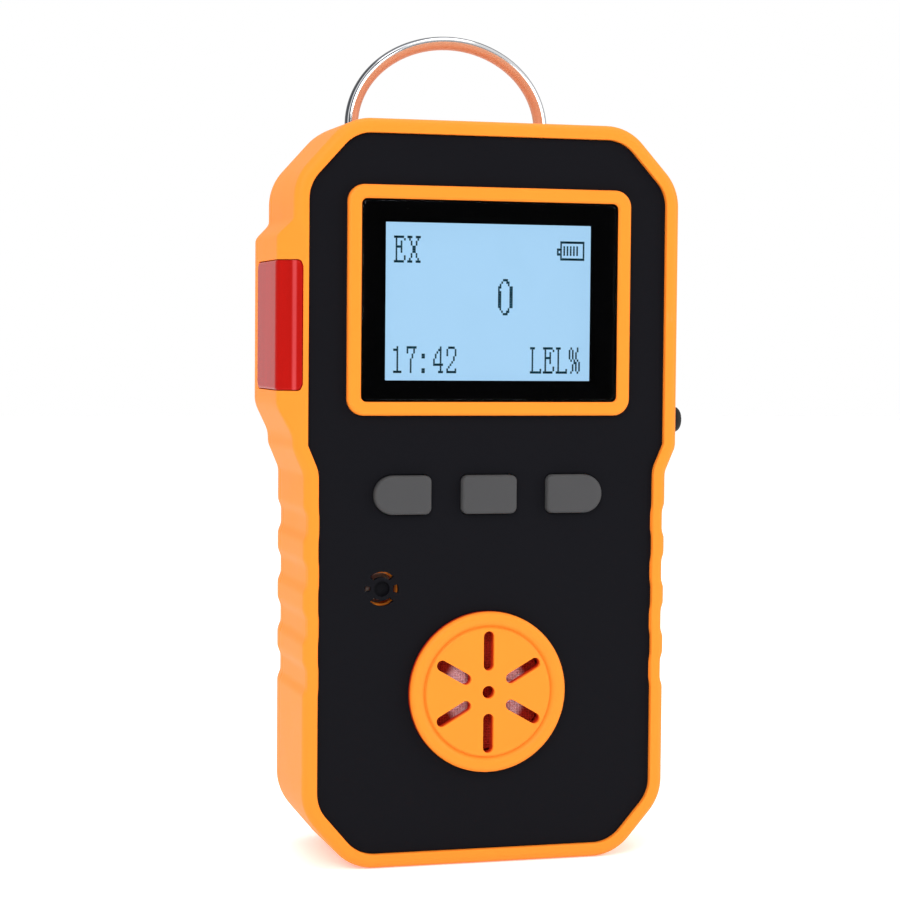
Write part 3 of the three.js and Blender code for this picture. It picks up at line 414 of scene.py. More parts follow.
class Value:
    """A node's output that takes part in Python expressions."""

    def __init__(self, graph: "Nodes", socket: bpy.types.NodeSocket) -> None:
        """Wraps an output of a node tree."""
        self.graph = graph
        self.socket = socket

    def _math(self, operation: str, a: "Value | float", b: "Value | float") -> "Value":
        """Adds a Math node on two numbers."""
        return self.graph.add("ShaderNodeMath", {"operation": operation}, {0: a, 1: b})

    def __add__(self, other: "Value | float") -> "Value":
        """Adds a number."""
        return self._math("ADD", self, other)

    __radd__ = __add__

    def __sub__(self, other: "Value | float") -> "Value":
        """Takes a number away."""
        return self._math("SUBTRACT", self, other)

    def __rsub__(self, other: "Value | float") -> "Value":
        """Takes this from a number."""
        return self._math("SUBTRACT", other, self)

    def __mul__(self, other: "Value | float") -> "Value":
        """Multiplies by a number."""
        return self._math("MULTIPLY", self, other)

    __rmul__ = __mul__

    def __truediv__(self, other: "Value | float") -> "Value":
        """Divides by a number."""
        return self._math("DIVIDE", self, other)

    def power(self, exponent: float) -> "Value":
        """Raises it to a power."""
        return self._math("POWER", self, exponent)

    def cosine(self) -> "Value":
        """Gives its cosine."""
        return self._math("COSINE", self, 0.0)

    def above(self, edge: float, soft: float) -> "Value":
        """Gives 0 below an edge and 1 past it, over a soft width."""
        sockets = {"Value": self, "From Min": edge, "From Max": edge + soft}
        return self.graph.add("ShaderNodeMapRange", {"interpolation_type": "SMOOTHSTEP"}, sockets)


class Nodes:
    """A node tree that is written as expressions."""

    def __init__(self, tree: bpy.types.NodeTree) -> None:
        """Takes up a tree."""
        self.tree = tree

    def add(
        self, kind: str, settings: dict | None = None, sockets: dict | None = None, output: str | int = 0
    ) -> Value:
        """Adds a node.

        Args:
            kind: The node's type.
            settings: Its properties, set first.
            sockets: Values or links of its inputs, by name, identifier or number.
            output: Name or number of the output that is wanted.

        Returns:
            That output.
        """
        node = self.tree.nodes.new(kind)
        for key, value in (settings or {}).items():
            setattr(node, key, value)
        for key, value in (sockets or {}).items():
            self.feed(socket_of(node.inputs, key), value)
        return Value(self, socket_of(node.outputs, output))

    def feed(self, socket: bpy.types.NodeSocket, value: "Value | float | Sequence[float]") -> None:
        """Sets a socket's value, or links it."""
        if isinstance(value, Value):
            self.tree.links.new(value.socket, socket)
        else:
            socket.default_value = value


class Graph(Nodes):
    """The node tree of one material, with its shader and its coordinates."""

    def __init__(self, name: str) -> None:
        """Starts a material with a Principled shader."""
        self.material = bpy.data.materials.new(name)
        self.material.use_nodes = True
        super().__init__(self.material.node_tree)
        self.shader = self.tree.nodes["Principled BSDF"]
        self.place = self.add("ShaderNodeTexCoord", output="Object")

    def noise(
        self, size: float, detail: float = 2, stretch: Sequence[float] = (1, 1, 1), rough: float = 0.5
    ) -> Value:
        """Adds a noise pattern.

        Args:
            size: Size of its marks in millimetres.
            detail: Octaves.
            stretch: How many times longer the marks are along each axis.
            rough: Strength of the finer octaves.

        Returns:
            The noise, about 0 to 1.
        """
        scale = tuple(1 / s for s in stretch)
        where = self.add("ShaderNodeMapping", {}, {"Vector": self.place, "Scale": scale})
        sockets = {"Vector": where, "Scale": 1 / (size * MM), "Detail": detail, "Roughness": rough}
        return self.add("ShaderNodeTexNoise", {"normalize": True}, sockets)

    def part(self, axis: Axis) -> Value:
        """Gives one coordinate of the shaded point, in millimetres."""
        metres = self.add("ShaderNodeSeparateXYZ", {}, {0: self.place}, axis.value)
        return metres * (1 / MM)

    def attribute(self, name: str) -> Value:
        """Reads a number stored on the mesh."""
        return self.add("ShaderNodeAttribute", {"attribute_name": name}, {}, "Fac")

    def mix(self, factor: Value | float, a: Value | Sequence[float], b: Value | Sequence[float]) -> Value:
        """Mixes two colours."""
        sockets = {"Factor_Float": factor, "A_Color": a, "B_Color": b}
        return self.add("ShaderNodeMix", {"data_type": "RGBA"}, sockets, "Result_Color")

    def bump(self, height: Value, depth: float) -> None:
        """Feeds a relief of a depth in millimetres to the shader's normal."""
        made = self.add("ShaderNodeBump", {}, {"Height": height, "Distance": depth * MM, "Strength": 1.0})
        self.feed(self.shader.inputs["Normal"], made)

    def set(self, **sockets: "Value | float | Sequence[float]") -> None:
        """Sets or links sockets of the shader, with _ for the spaces in their names."""
        for key, value in sockets.items():
            self.feed(self.shader.inputs[key.replace("_", " ")], value)


def rgba(colour: Sequence[float], gain: float = 1) -> tuple[float, float, float, float]:
    """Gives a colour with its brightness changed, as four numbers."""
    return (*(min(1.0, c * gain) for c in colour), 1.0)


class Finish:
    """A procedural finish. Each kind adds its own nodes to a material."""

    name: str

    def make(self) -> bpy.types.Material:
        """Builds the material."""
        g = Graph(self.name)
        self.paint(g)
        return g.material

    def paint(self, g: Graph) -> None:
        """Adds the finish's nodes."""
        raise NotImplementedError


@dataclass(frozen=True)
class Moulded(Finish):
    """A moulded plastic or rubber with a fine eroded grain, faint mottle and light scuffs, and where asked
    painted shade down in its openings.
    """

    name: str
    colour: Colour
    roughness: float = 0.42
    grain: float = 0.28  # mm
    depth: float = 0.012  # mm
    mottle: float = 0.05
    scuffs: float = 0.12
    specular: float = 0.4
    sheen: float = 0.0
    coat: float = 0.0
    deep: Colour | None = None  # painted shade: the colour painted down in its openings
    painted_shade_y: Pair = (0.0, 0.0)  # frame Y in mm where that painted shade starts and is full

    def paint(self, g: Graph) -> None:
        """Adds the finish's nodes."""
        cloud = g.noise(9, 3)
        speck = g.noise(0.5, 2)
        worn = g.noise(2.2, 5, (1, 1, 5), 0.65).above(0.66, 0.12)
        dark, light = rgba(self.colour, 1 - self.mottle), rgba(self.colour, 1 + self.mottle)
        colour = g.mix(cloud * 0.75 + speck * 0.25, dark, light)
        pale = rgba([c * 0.7 + 0.3 * max(self.colour) for c in self.colour])
        colour = g.mix(worn * self.scuffs, colour, pale)
        # Painted shade: past a depth the colour turns to the dark one, down in openings and grooves.
        if self.deep:
            start, full = self.painted_shade_y
            colour = g.mix(g.part(Axis.Y).above(start, full - start), colour, rgba(self.deep))
        g.set(Base_Color=colour)
        g.set(Roughness=cloud * 0.08 + (speck * 0.06 + (self.roughness - 0.07)) + worn * 0.08)
        g.set(Specular_IOR_Level=self.specular, Sheen_Weight=self.sheen, Sheen_Roughness=0.5)
        g.set(Coat_Weight=self.coat, Coat_Roughness=0.12)
        g.bump(g.noise(self.grain, 3, rough=0.6) + worn * 0.3, self.depth)


@dataclass(frozen=True)
class Steel(Finish):
    """A metal, polished or brushed, with fine scratches."""

    name: str
    colour: Colour
    roughness: float = 0.2
    brush: tuple[float, float, float] = (1, 1, 1)  # how many times longer the brush marks are on each axis
    depth: float = 0.004  # mm
    tint: float = 0.08

    def paint(self, g: Graph) -> None:
        """Adds the finish's nodes."""
        marks = g.noise(0.16, 3, self.brush, 0.6)
        cloud = g.noise(5, 3)
        line = g.noise(0.5, 4, tuple(4 * b for b in self.brush), 0.7).above(0.62, 0.05)
        dark = rgba(self.colour, 1 - self.tint)
        g.set(Base_Color=g.mix(cloud * 0.6 + marks * 0.4, dark, rgba(self.colour)))
        g.set(Metallic=1.0, Roughness=marks * 0.1 + cloud * 0.06 + line * 0.06 + (self.roughness - 0.07))
        g.bump(marks + line * 0.5, self.depth)


@dataclass(frozen=True)
class PaintedReflectionSteel(Finish):
    """The ring's polished steel with painted reflections: painted dark reflection along its outer side, a
    painted glint in it on the left, and painted reflection of the orange housing where it faces the housing.
    """

    name: str
    colour: Colour = (0.84, 0.85, 0.87)
    # dull is the colour of a painted dark reflection, warm that of a painted reflection of the orange housing
    painted_dark_reflection: Colour = (0.085, 0.09, 0.10)
    painted_orange_reflection: Colour = (0.55, 0.25, 0.135)
    painted_dark_widening: Pair = (2.0, 12.0)  # the painted dark reflection widens between these distances left of the middle

    def paint(self, g: Graph) -> None:
        """Adds the finish's nodes."""
        outward = g.attribute("outward")
        left = (g.part(Axis.X) * -1).above(self.painted_dark_widening[0], self.painted_dark_widening[1] - self.painted_dark_widening[0])
        streak = g.noise(2.5, 3)
        wavy = outward + streak * 0.03
        # Painted dark reflection along the outer side, wider on the left.
        painted_dark_reflection = (wavy + left * 0.36).above(0.72, 0.1)
        # Painted glint: a steel-coloured line left in the dark band on the left.
        painted_glint = wavy.above(0.6, 0.05) * (1 - wavy.above(0.72, 0.05))
        painted_dark_reflection = painted_dark_reflection * (1 - painted_glint * left)
        # Painted reflection of the orange housing on the inner side, also made rougher and less metallic.
        painted_orange_reflection = 1 - wavy.above(0.12, 0.14)
        steel = g.mix(streak * 0.5, rgba(self.colour), rgba(self.colour, 0.9))
        colour = g.mix(painted_orange_reflection, g.mix(painted_dark_reflection, steel, rgba(self.painted_dark_reflection)), rgba(self.painted_orange_reflection))
        g.set(Base_Color=colour, Metallic=1 - painted_orange_reflection * 0.9)
        g.set(Roughness=g.noise(0.4, 3) * 0.06 + 0.1 + painted_orange_reflection * 0.35)
        g.bump(g.noise(3, 2), 0.0005)


@dataclass(frozen=True)
class PaintedLightFilter(Finish):
    """The sensor's filter and its wires, in painted light: a painted reflection of the side lights, pale to
    the sides, and painted shade, dark red, elsewhere.
    """

    name: str
    centre: float
    # pale is the colour of a painted reflection of the side lights, dark the colour of painted shade
    pale: Colour = (0.95, 0.70, 0.76)
    dark: Colour = (0.40, 0.020, 0.008)

    def paint(self, g: Graph) -> None:
        """Adds the finish's nodes."""
        x, z = g.part(Axis.X), g.part(Axis.Z) - self.centre
        side, reach = (x * x).power(0.5), (x * x + z * z).power(0.5)
        # Where the painted side reflection lies: to the sides and short of the rim; painted shade everywhere
        # else.
        share = side.above(2.4, 1.2) * (1 - reach.above(5.6, 1.6))
        cloud = g.noise(1.2, 3)
        colour = g.mix(share * (cloud * 0.5 + 0.72), rgba(self.dark), rgba(self.pale))
        g.set(Base_Color=colour, Roughness=cloud * 0.2 + 0.5, Specular_IOR_Level=0.2)
        g.bump(g.noise(0.2, 2), 0.02)


@dataclass(frozen=True)
class Cover(Finish):
    """A clear moulded cover with a faint smudge."""

    name: str
    ior: float = 1.3

    def paint(self, g: Graph) -> None:
        """Adds the finish's nodes."""
        smear = g.noise(7, 4, (1, 1, 2)).above(0.55, 0.3)
        g.set(Base_Color=g.mix(smear, (0.97, 0.98, 1, 1), (0.93, 0.95, 0.97, 1)), IOR=self.ior)
        g.set(Transmission_Weight=1.0, Roughness=smear * 0.025 + 0.01)
        g.bump(g.noise(12, 2), 0.002)


BANDS = 0.5  # scale of a wave pattern for each pitch


@dataclass(frozen=True)
class LitScreen(Finish):
    """A backlit liquid crystal, a shade brighter in the middle, with its dot grid just showing."""

    name: str
    colour: Colour
    pitch: Pair = (0.257, 0.378)  # mm
    strength: float = 1.0

    def paint(self, g: Graph) -> None:
        """Adds the finish's nodes."""
        cloud = g.noise(20, 2)
        lines = []
        for axis, pitch in zip(("X", "Z"), self.pitch):
            wave = {"wave_type": "BANDS", "bands_direction": axis, "wave_profile": "SIN"}
            sockets = {"Vector": g.place, "Scale": BANDS / (pitch * MM)}
            lines.append(g.add("ShaderNodeTexWave", wave, sockets))
        grid = (lines[0] * lines[1]).above(0.02, 0.2)
        lit = g.mix(cloud * 0.5 + grid * 0.5, rgba(self.colour, 0.95), rgba(self.colour))
        g.set(Base_Color=(0.02, 0.03, 0.04, 1), Roughness=0.3)
        g.set(Emission_Color=lit, Emission_Strength=self.strength)


@dataclass(frozen=True)
class LampCover(Finish):
    """A glossy red lamp cover with soft upright ribs inside and a painted highlight, a pale upright stripe,
    near its inner edge.
    """

    name: str
    colour: Colour
    painted_highlight: Pair = (-31.15, -30.6)  # frame X in mm where the painted highlight starts and ends

    def paint(self, g: Graph) -> None:
        """Adds the finish's nodes."""
        cloud = g.noise(6, 3, (1, 1, 4))
        rib = g.noise(0.9, 1, (1, 1, 60))
        across = g.part(Axis.X)
        painted_highlight = across.above(self.painted_highlight[0], 0.35) * (1 - across.above(self.painted_highlight[1], 0.3))
        body = g.mix(cloud * 0.5 + rib * 0.5, rgba(self.colour, 0.8), rgba(self.colour, 1.15))
        # Painted highlight: a pale pink upright stripe mixed into the colour near the inner edge.
        g.set(Base_Color=g.mix(painted_highlight * (cloud * 0.3 + 0.25), body, rgba((0.75, 0.12, 0.13))))
        g.set(Roughness=cloud * 0.08 + 0.1, IOR=1.12)
        g.bump(g.noise(3, 2, (1, 1, 3)) * 0.6 + rib * 0.4, 0.02)


@dataclass(frozen=True)
class Circuit(Finish):
    """A green board with tracks under its lacquer."""

    name: str
    colour: Colour = (0.012, 0.10, 0.035)

    def paint(self, g: Graph) -> None:
        """Adds the finish's nodes."""
        cells = {"Vector": g.place, "Scale": 420.0}
        track = g.add("ShaderNodeTexVoronoi", {"feature": "DISTANCE_TO_EDGE"}, cells)
        line = 1 - track.above(0.05, 0.03)
        g.set(Base_Color=g.mix(line * 0.6, rgba(self.colour), rgba((0.05, 0.22, 0.07))))
        g.set(Roughness=g.noise(2, 2) * 0.1 + 0.3)
        g.bump(line, 0.02)


ORANGE = (0.95, 0.245, 0.022)
MOULDING = Moulded(
    "orange_moulding", ORANGE, roughness=0.5, grain=0.22, depth=0.005, mottle=0.035, scuffs=0.08, specular=0.12
)
# Depths where the sensor cap's painted shade starts and is full.
CAP_PAINTED_SHADE = (PANEL_FRONT / MM - 0.75, PANEL_FRONT / MM - 0.35)
FINISHES = {
    "orange": MOULDING,
    # The sensor cap's moulding, with painted shade in its slots and groove.
    "cap_orange_painted_shade": replace(MOULDING, name="cap_orange_painted_shade", deep=(0.62, 0.03, 0.008), painted_shade_y=CAP_PAINTED_SHADE),
    "panel_black": Moulded(
        "panel_black", (0.0046, 0.0046, 0.0064), roughness=0.55, depth=0.005, specular=0.05, scuffs=0.01
    ),
    "key_rubber": Moulded(
        "key_rubber", (0.05, 0.05, 0.052), roughness=0.62, depth=0.01, specular=0.2, sheen=0.03
    ),
    "black_rubber": Moulded("black_rubber", (0.008, 0.008, 0.009), roughness=0.6, depth=0.01, specular=0.2),
    "frame_print": Moulded(
        "frame_print", (0.0006, 0.0006, 0.0008), roughness=0.6, depth=0.003, specular=0.0, scuffs=0.0
    ),
    "white_plastic": Moulded("white_plastic", (0.82, 0.82, 0.79), roughness=0.5, scuffs=0.05),
    "amber_film": Moulded("amber_film", (0.45, 0.17, 0.02), roughness=0.35),
    "black_plastic": Moulded("black_plastic", (0.014, 0.014, 0.016), roughness=0.45, specular=0.3),
    "segment": Moulded("segment", (0.008, 0.04, 0.06), roughness=0.6, specular=0.0, scuffs=0.0),
    "battery_wrap": Moulded("battery_wrap", (0.03, 0.16, 0.42), roughness=0.3, coat=0.3, mottle=0.08),
    "foam": Moulded("foam", (0.02, 0.02, 0.022), roughness=0.9, grain=0.6, depth=0.12),
    "red_wire": Moulded("red_wire", (0.5, 0.01, 0.01), roughness=0.45),
    "polished_steel": Steel("polished_steel", (0.82, 0.83, 0.85), roughness=0.13, depth=0.001),
    "sheet_steel": Steel("sheet_steel", (0.62, 0.63, 0.65), roughness=0.27, brush=(1, 1, 30)),
    "screw_steel": Steel("screw_steel", (0.5, 0.51, 0.53), roughness=0.3, brush=(6, 1, 1)),
    "brass": Steel("brass", (0.75, 0.52, 0.2), roughness=0.28),
    "clear_cover": Cover("clear_cover"),
    "screen": LitScreen("screen", (0.402, 0.679, 0.930)),
    "red_lens": LampCover("red_lens", (0.38, 0.006, 0.004)),
    "board_green": Circuit("board_green"),
    "ring_steel_painted_reflections": PaintedReflectionSteel("ring_steel_painted_reflections"),
    "sensor_filter_painted_light": PaintedLightFilter("sensor_filter_painted_light", CAP_Z),
}


class Paints:
    """The materials, each made when first asked for."""

    made: dict[str, bpy.types.Material] = {}

    @classmethod
    def of(cls, slot: str) -> bpy.types.Material:
        """Gives the material of a slot of the record."""
        if slot not in cls.made:
            cls.made[slot] = FINISHES[slot].make()
        return cls.made[slot]


def hand_in(
    piece: bpy.types.Object,
    slot: str,
    body: str = HOUSING,
    nodes: Sequence[str] = (),
    finish: str | None = None,
) -> None:
    """Gives a finished piece its finish, its body and the nodes it stands for.

    Args:
        piece: The piece.
        slot: Material slot of the record.
        body: Body that it rides on.
        nodes: Nodes of the frame that it replaces.
        finish: Its finish, where that isn't the slot's own.
    """
    piece.data.materials.clear()
    piece.data.materials.append(Paints.of(finish or slot))
    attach(piece, body)
    if nodes:
        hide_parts(*nodes)
    log.info("%s: %d faces, rides %s", piece.name, len(piece.data.polygons), body)


# ---- Repeats drawn with Geometry Nodes -----------------------------------------------------
class Repeat(Nodes):
    """A Geometry Nodes tree with named inputs, run once and made a plain mesh."""

    def __init__(self, name: str) -> None:
        """Starts the tree."""
        super().__init__(bpy.data.node_groups.new(name, "GeometryNodeTree"))
        self.name = name
        for way in ("INPUT", "OUTPUT"):
            self.tree.interface.new_socket("Geometry", in_out=way, socket_type="NodeSocketGeometry")
        self.start = self.tree.nodes.new("NodeGroupInput")
        self.end = self.tree.nodes.new("NodeGroupOutput")
        self.sizes: dict[str, float | int] = {}

    def size(self, name: str, value: float | int) -> Value:
        """Adds a named input.

        Args:
            name: The input's name.
            value: What it is set to.

        Returns:
            The input inside the tree.
        """
        kind = "NodeSocketInt" if isinstance(value, int) else "NodeSocketFloat"
        socket = self.tree.interface.new_socket(name, in_out="INPUT", socket_type=kind)
        self.sizes[socket.identifier] = value
        return Value(self, socket_of(self.start.outputs, socket.identifier))

    def vector(self, **parts: "Value | float") -> Value:
        """Makes a vector of X, Y and Z."""
        return self.add("ShaderNodeCombineXYZ", {}, parts)

    def moved(self, geometry: Value, **change: "Value | Sequence[float]") -> Value:
        """Transforms a geometry by its Translation or Rotation."""
        return self.add("GeometryNodeTransform", {}, {"Geometry": geometry, **change})

    def copies(self, points: Value, instance: Value, **turn: Value) -> Value:
        """Puts an instance on points."""
        return self.add("GeometryNodeInstanceOnPoints", {}, {"Points": points, "Instance": instance, **turn})

    def real(self, geometry: Value) -> Value:
        """Makes instances plain geometry."""
        return self.add("GeometryNodeRealizeInstances", {}, {"Geometry": geometry})

    def run(self, geometry: Value, slot: str | None, points: Sequence[Point] = ()) -> bpy.types.Object:
        """Ends the tree, runs it on an object and gives the plain piece.

        Args:
            geometry: What the tree has made.
            slot: Material slot of the result, or nothing for a cutter.
            points: Points that the tree starts from, in the frame's millimetres.

        Returns:
            The piece.
        """
        last = self.real(geometry)
        if slot:
            last = self.add("GeometryNodeSetMaterial", {}, {"Geometry": last, "Material": Paints.of(slot)})
        self.feed(self.end.inputs[0], last)
        draft = Draft()
        draft.ring(points)
        piece = draft.build(self.name)
        work = piece.modifiers.new("repeat", "NODES")
        work.node_group = self.tree
        for identifier, value in self.sizes.items():
            work[identifier] = value
        return settle(piece)


# ---- Housing -------------------------------------------------------------------------------
@dataclass
class Outline:
    """The housing seen from the front: two widths, a waist between them and cut corners."""

    upper: float = box_mm("rear_shell")[0][1]
    lower: float = 29.2
    height: float = box_mm("front_shell")[2][1]
    waist: Pair = (60.8, 64.8)
    top_cut: Pair = (8.5, 9.4)
    foot_cut: Pair = (7.8, 9.1)
    corner: float = 8.0
    waist_round: float = 3.0
    runs: tuple[int, ...] = (6, 110, 3, 20, 6, 16, 6, 90, 3, 110, 6, 16)  # pieces of each straight side

    def corners(self) -> list[tuple[float, float, float]]:
        """Gives X, Z and radius of each corner, from the foot's right end upwards and round."""
        half = [
            (self.lower - self.foot_cut[0], 0.0, self.corner),
            (self.lower, self.foot_cut[1], self.corner),
            (self.lower, self.waist[0], self.waist_round),
            (self.upper, self.waist[1], self.waist_round),
            (self.upper, self.height - self.top_cut[1], self.corner),
            (self.upper - self.top_cut[0], self.height, self.corner),
        ]
        return half + [(-x, z, r) for x, z, r in reversed(half)]

    def drawn_in(self, inset: float) -> Loop:
        """Draws the outline moved in by an inset.

        Args:
            inset: How far, in millimetres.

        Returns:
            Its points, always the same number of them.
        """
        corners = self.corners()
        count = len(corners)
        sides = []
        for (x, z, _), (nx, nz, _) in zip(corners, corners[1:] + corners[:1]):
            length = math.hypot(nx - x, nz - z)
            out = ((nz - z) / length, -(nx - x) / length)
            sides.append((out, out[0] * x + out[1] * z - inset))
        moved = []
        for i, (_, _, radius) in enumerate(corners):
            (a, ad), (b, bd) = sides[i - 1], sides[i]
            turn = a[0] * b[1] - a[1] * b[0]
            place = Vector(((ad * b[1] - bd * a[1]) / turn, (a[0] * bd - b[0] * ad) / turn))
            radius = max(radius - inset, 0.4) if turn > 0 else radius + inset
            moved.append((place, radius, math.copysign(1, turn)))
        arcs = []
        for i, (place, radius, side) in enumerate(moved):
            into = (place - moved[i - 1][0]).normalized()
            away = (moved[(i + 1) % count][0] - place).normalized()
            bend = math.acos(max(-1, min(1, into.dot(away))))
            start = place - into * radius * math.tan(bend / 2)
            centre = start + Vector((-into.y, into.x)) * side * radius
            base = math.atan2(into.y, into.x) - side * math.pi / 2
            steps = 10 if corners[i][2] == self.corner else 5
            angles = [base + side * bend * k / steps for k in range(steps + 1)]
            arcs.append([centre + radius * Vector((math.cos(t), math.sin(t))) for t in angles])
        loop = []
        for i, arc in enumerate(arcs):
            loop += [(p.x, p.y) for p in arc]
            end = arcs[(i + 1) % count][0]
            run = self.runs[i]
            loop += [tuple(arc[-1].lerp(end, k / run)) for k in range(1, run)]
        return loop


@dataclass
class Skin:
    """The outer skin of the housing: the plain outline with the lamp boss and the grips worked into it."""

    outline: Outline = field(default_factory=Outline)
    boss_z: tuple[float, float, float, float] = (66.6, 71.2, 97.1, 99.4)
    boss_proud: float = 2.2
    grip_z: tuple[float, ...] = tuple(53.2 - 7.87 * i for i in range(4))
    grip_half: float = 1.95
    grip_deep: float = 0.5
    grip_start: Pair = (-0.75, 0.1)

    def boss_share(self, z: float) -> float:
        """Gives how much of the boss stands at a height, from 0 to 1."""
        low, full, end, high = self.boss_z
        return eased((z - low) / (full - low)) * eased((high - z) / (high - end))

    def grip_share(self, z: float) -> float:
        """Gives how deep the grips are at a height, from 0 to 1."""
        return max(smooth((self.grip_half + 0.9 - abs(z - g)) / 1.8) for g in self.grip_z)

    def ring(self, plain: Pair, bossed: Pair) -> list[Point]:
        """Draws one level of the skin.

        Args:
            plain: Inset and depth of the level where the skin is plain.
            bossed: Inset and depth of the same level on the boss.

        Returns:
            The level's points.
        """
        inset, depth = plain
        points = []
        for x, z in self.outline.drawn_in(inset):
            y = depth
            share = self.boss_share(z) if x < 0 else 0.0
            if share:
                x -= share * (inset - bossed[0])
                y += share * (bossed[1] - depth)
            if abs(x) > self.outline.lower - inset - 0.01:
                start, full = self.grip_start
                deep = self.grip_deep * self.grip_share(z) * smooth((y - start) / (full - start))
                x -= math.copysign(deep, x)
            points.append((x, y, z))
        return points


@dataclass
class BossSection:
    """The lamp boss seen from above: its side, the fold and the front facet, as inset and depth."""

    side: float = -2.2
    fold: tuple[Pair, ...] = ((-2.2, 2.75), (-2.18, 2.4), (-2.1, 2.08), (-1.93, 1.78))
    facet_end: Pair = (1.42, -0.5)

    def walk(self, back: float, front: float, step: float) -> list[tuple[Vector, Vector]]:
        """Walks over the boss from its side to its front facet.

        Args:
            back: Depth where the walk starts on the side.
            front: Inset where it ends on the facet.
            step: Spacing along straight runs.

        Returns:
            Points and outward directions, in inset and depth.
        """
        knots = [Vector((self.side, back)), *map(Vector, self.fold)]
        run = Vector(self.facet_end) - Vector(self.fold[-1])
        knots.append(Vector(self.fold[-1]) + run * (front - self.fold[-1][0]) / run.x)
        dense = []
        for a, b in zip(knots, knots[1:]):
            pieces = max(1, round((b - a).length / step))
            dense += [a.lerp(b, k / pieces) for k in range(pieces)]
        dense.append(knots[-1])
        walk = []
        for i, p in enumerate(dense):
            along = (dense[min(i + 1, len(dense) - 1)] - dense[max(i - 1, 0)]).normalized()
            walk.append((p, Vector((along.y, -along.x))))
        return walk


@dataclass
class LampLens:
    """The red lamp cover that wraps the front edge of the boss."""

    section: BossSection = field(default_factory=BossSection)
    z: Pair = box_mm("alarm_lens")[2]
    back: float = box_mm("alarm_lens")[1][1]
    front: float = 1.3
    corner: float = 1.0
    proud: float = 0.1
    ease: float = 0.3

    def shape(self, name: str, grow: float, top: float, bottom: float, ease: float) -> bpy.types.Object:
        """Draws the cover, or the pocket it sits in.

        Args:
            name: The object's name.
            grow: How much wider it is on every side.
            top: Height of its outer face over the boss.
            bottom: Height of its inner face, below 0.
            ease: Radius of its eased edge.

        Returns:
            The closed shape.
        """
        walk = self.section.walk(self.back + grow, self.front + grow, 0.3)
        spans = [0.0]
        for (a, _), (b, _) in zip(walk, walk[1:]):
            spans.append(spans[-1] + (b - a).length)
        middle = sum(self.z) / 2
        half = (self.z[1] - self.z[0]) / 2 + grow
        rows = [math.sin(t) for t in spread(-math.pi / 2, math.pi / 2, 48)]
        draft = Draft()
        upper: list[list[int]] = []
        lower: list[list[int]] = []
        for (p, out), s in zip(walk, spans):
            end = min(s, spans[-1] - s)
            lost = self.corner - math.sqrt(max(self.corner**2 - max(self.corner - end, 0) ** 2, 0))
            reach = half - lost
            line: list[Point] = []
            under: list[Point] = []
            for v in rows:
                edge = min(end + 0.4 * lost, reach * (1 - abs(v)) + 0.001)
                fall = max(1 - edge / ease, 0) if ease else 0
                high = top - ease * (1 - math.sqrt(1 - min(fall, 1) ** 2))
                for store, height in ((line, high), (under, bottom)):
                    q = p + out * height
                    store.append((-(SKIN.outline.upper - q.x), q.y, middle + v * reach))
            upper.append(draft.ring(line))
            lower.append(draft.ring(under))
        for sheet in (upper, lower):
            for a, b in zip(sheet, sheet[1:]):
                draft.bridge(a, b, closed=False)
        for end in (0, -1):
            draft.bridge([r[end] for r in upper], [r[end] for r in lower], closed=False)
            draft.bridge(upper[end], lower[end], closed=False)
        return draft.build(name)

    def make(self) -> None:
        """Builds the cover and dresses it."""
        piece = self.shape("lamp_cover", 0, self.proud, -1.2, self.ease)
        hand_in(shade(piece, 50), "red_lens", HOUSING, ["alarm_lens"])


SKIN = Skin()
KEY_ROUNDS = ((2.98, 1, 1, 2.98), (1, 1, 1, 1), (1, 2.98, 2.98, 1))
KEYS = ("left", "middle", "right")
WALL_CUT: Pair = (-3, 8)  # depths between which a cutter goes through the front wall
PANEL_CUT: Pair = (-2, 3)  # depths between which a cutter goes through the panel


def key_loop(index: int, inset: float, steps: int = 12) -> Loop:
    """Draws a key's outline moved in by an inset.

    Args:
        index: Which key, from the left.
        inset: How far it is moved in.
        steps: Pieces of each corner.

    Returns:
        Its points.
    """
    x, _, z = box_mm(f"key_{KEYS[index]}")
    radii = [max(r - inset, 0.05) for r in KEY_ROUNDS[index]]
    return rounded(x, z, radii, steps, inset)


@dataclass
class Bezel:
    """The raised frame round the display."""

    half: float = 22.65
    z: Pair = (69.8, 104.9)
    bar: float = 2.1
    face: float = -1.1
    corner: float = 2.6
    inner_corner: float = 0.9
    lap: float = 1.5  # how far the ledge reaches past the bar

    def loop(self, inset: float, steps: int = 10) -> Loop:
        """Draws the frame's outline moved in by an inset."""
        share = min(max(inset / self.bar, 0), 1)
        radius = self.corner + (self.inner_corner - self.corner) * share - min(inset, 0)
        return rounded((-self.half, self.half), self.z, [radius] * 4, steps, inset)

    def draw(self, foot: float, ledge: float) -> bpy.types.Object:
        """Draws the frame as a closed ring.

        Args:
            foot: Depth of its foot inside the front wall.
            ledge: Depth of the ledge that the window's frame lies on.

        Returns:
            The ring.
        """
        outer = [(run, self.face + 0.5 - rise) for run, rise in quarter(0.5, 5)]
        inner = [(self.bar - run, self.face + 0.45 - rise) for run, rise in reversed(quarter(0.45, 4))]
        levels = [(0.0, foot), (0.0, 0.6), *outer, *inner, (self.bar, ledge), (self.bar + self.lap, ledge)]
        levels.append((self.bar + self.lap, foot))
        return Draft().stack(self.loop, levels, endless=True).build("bezel_ring")


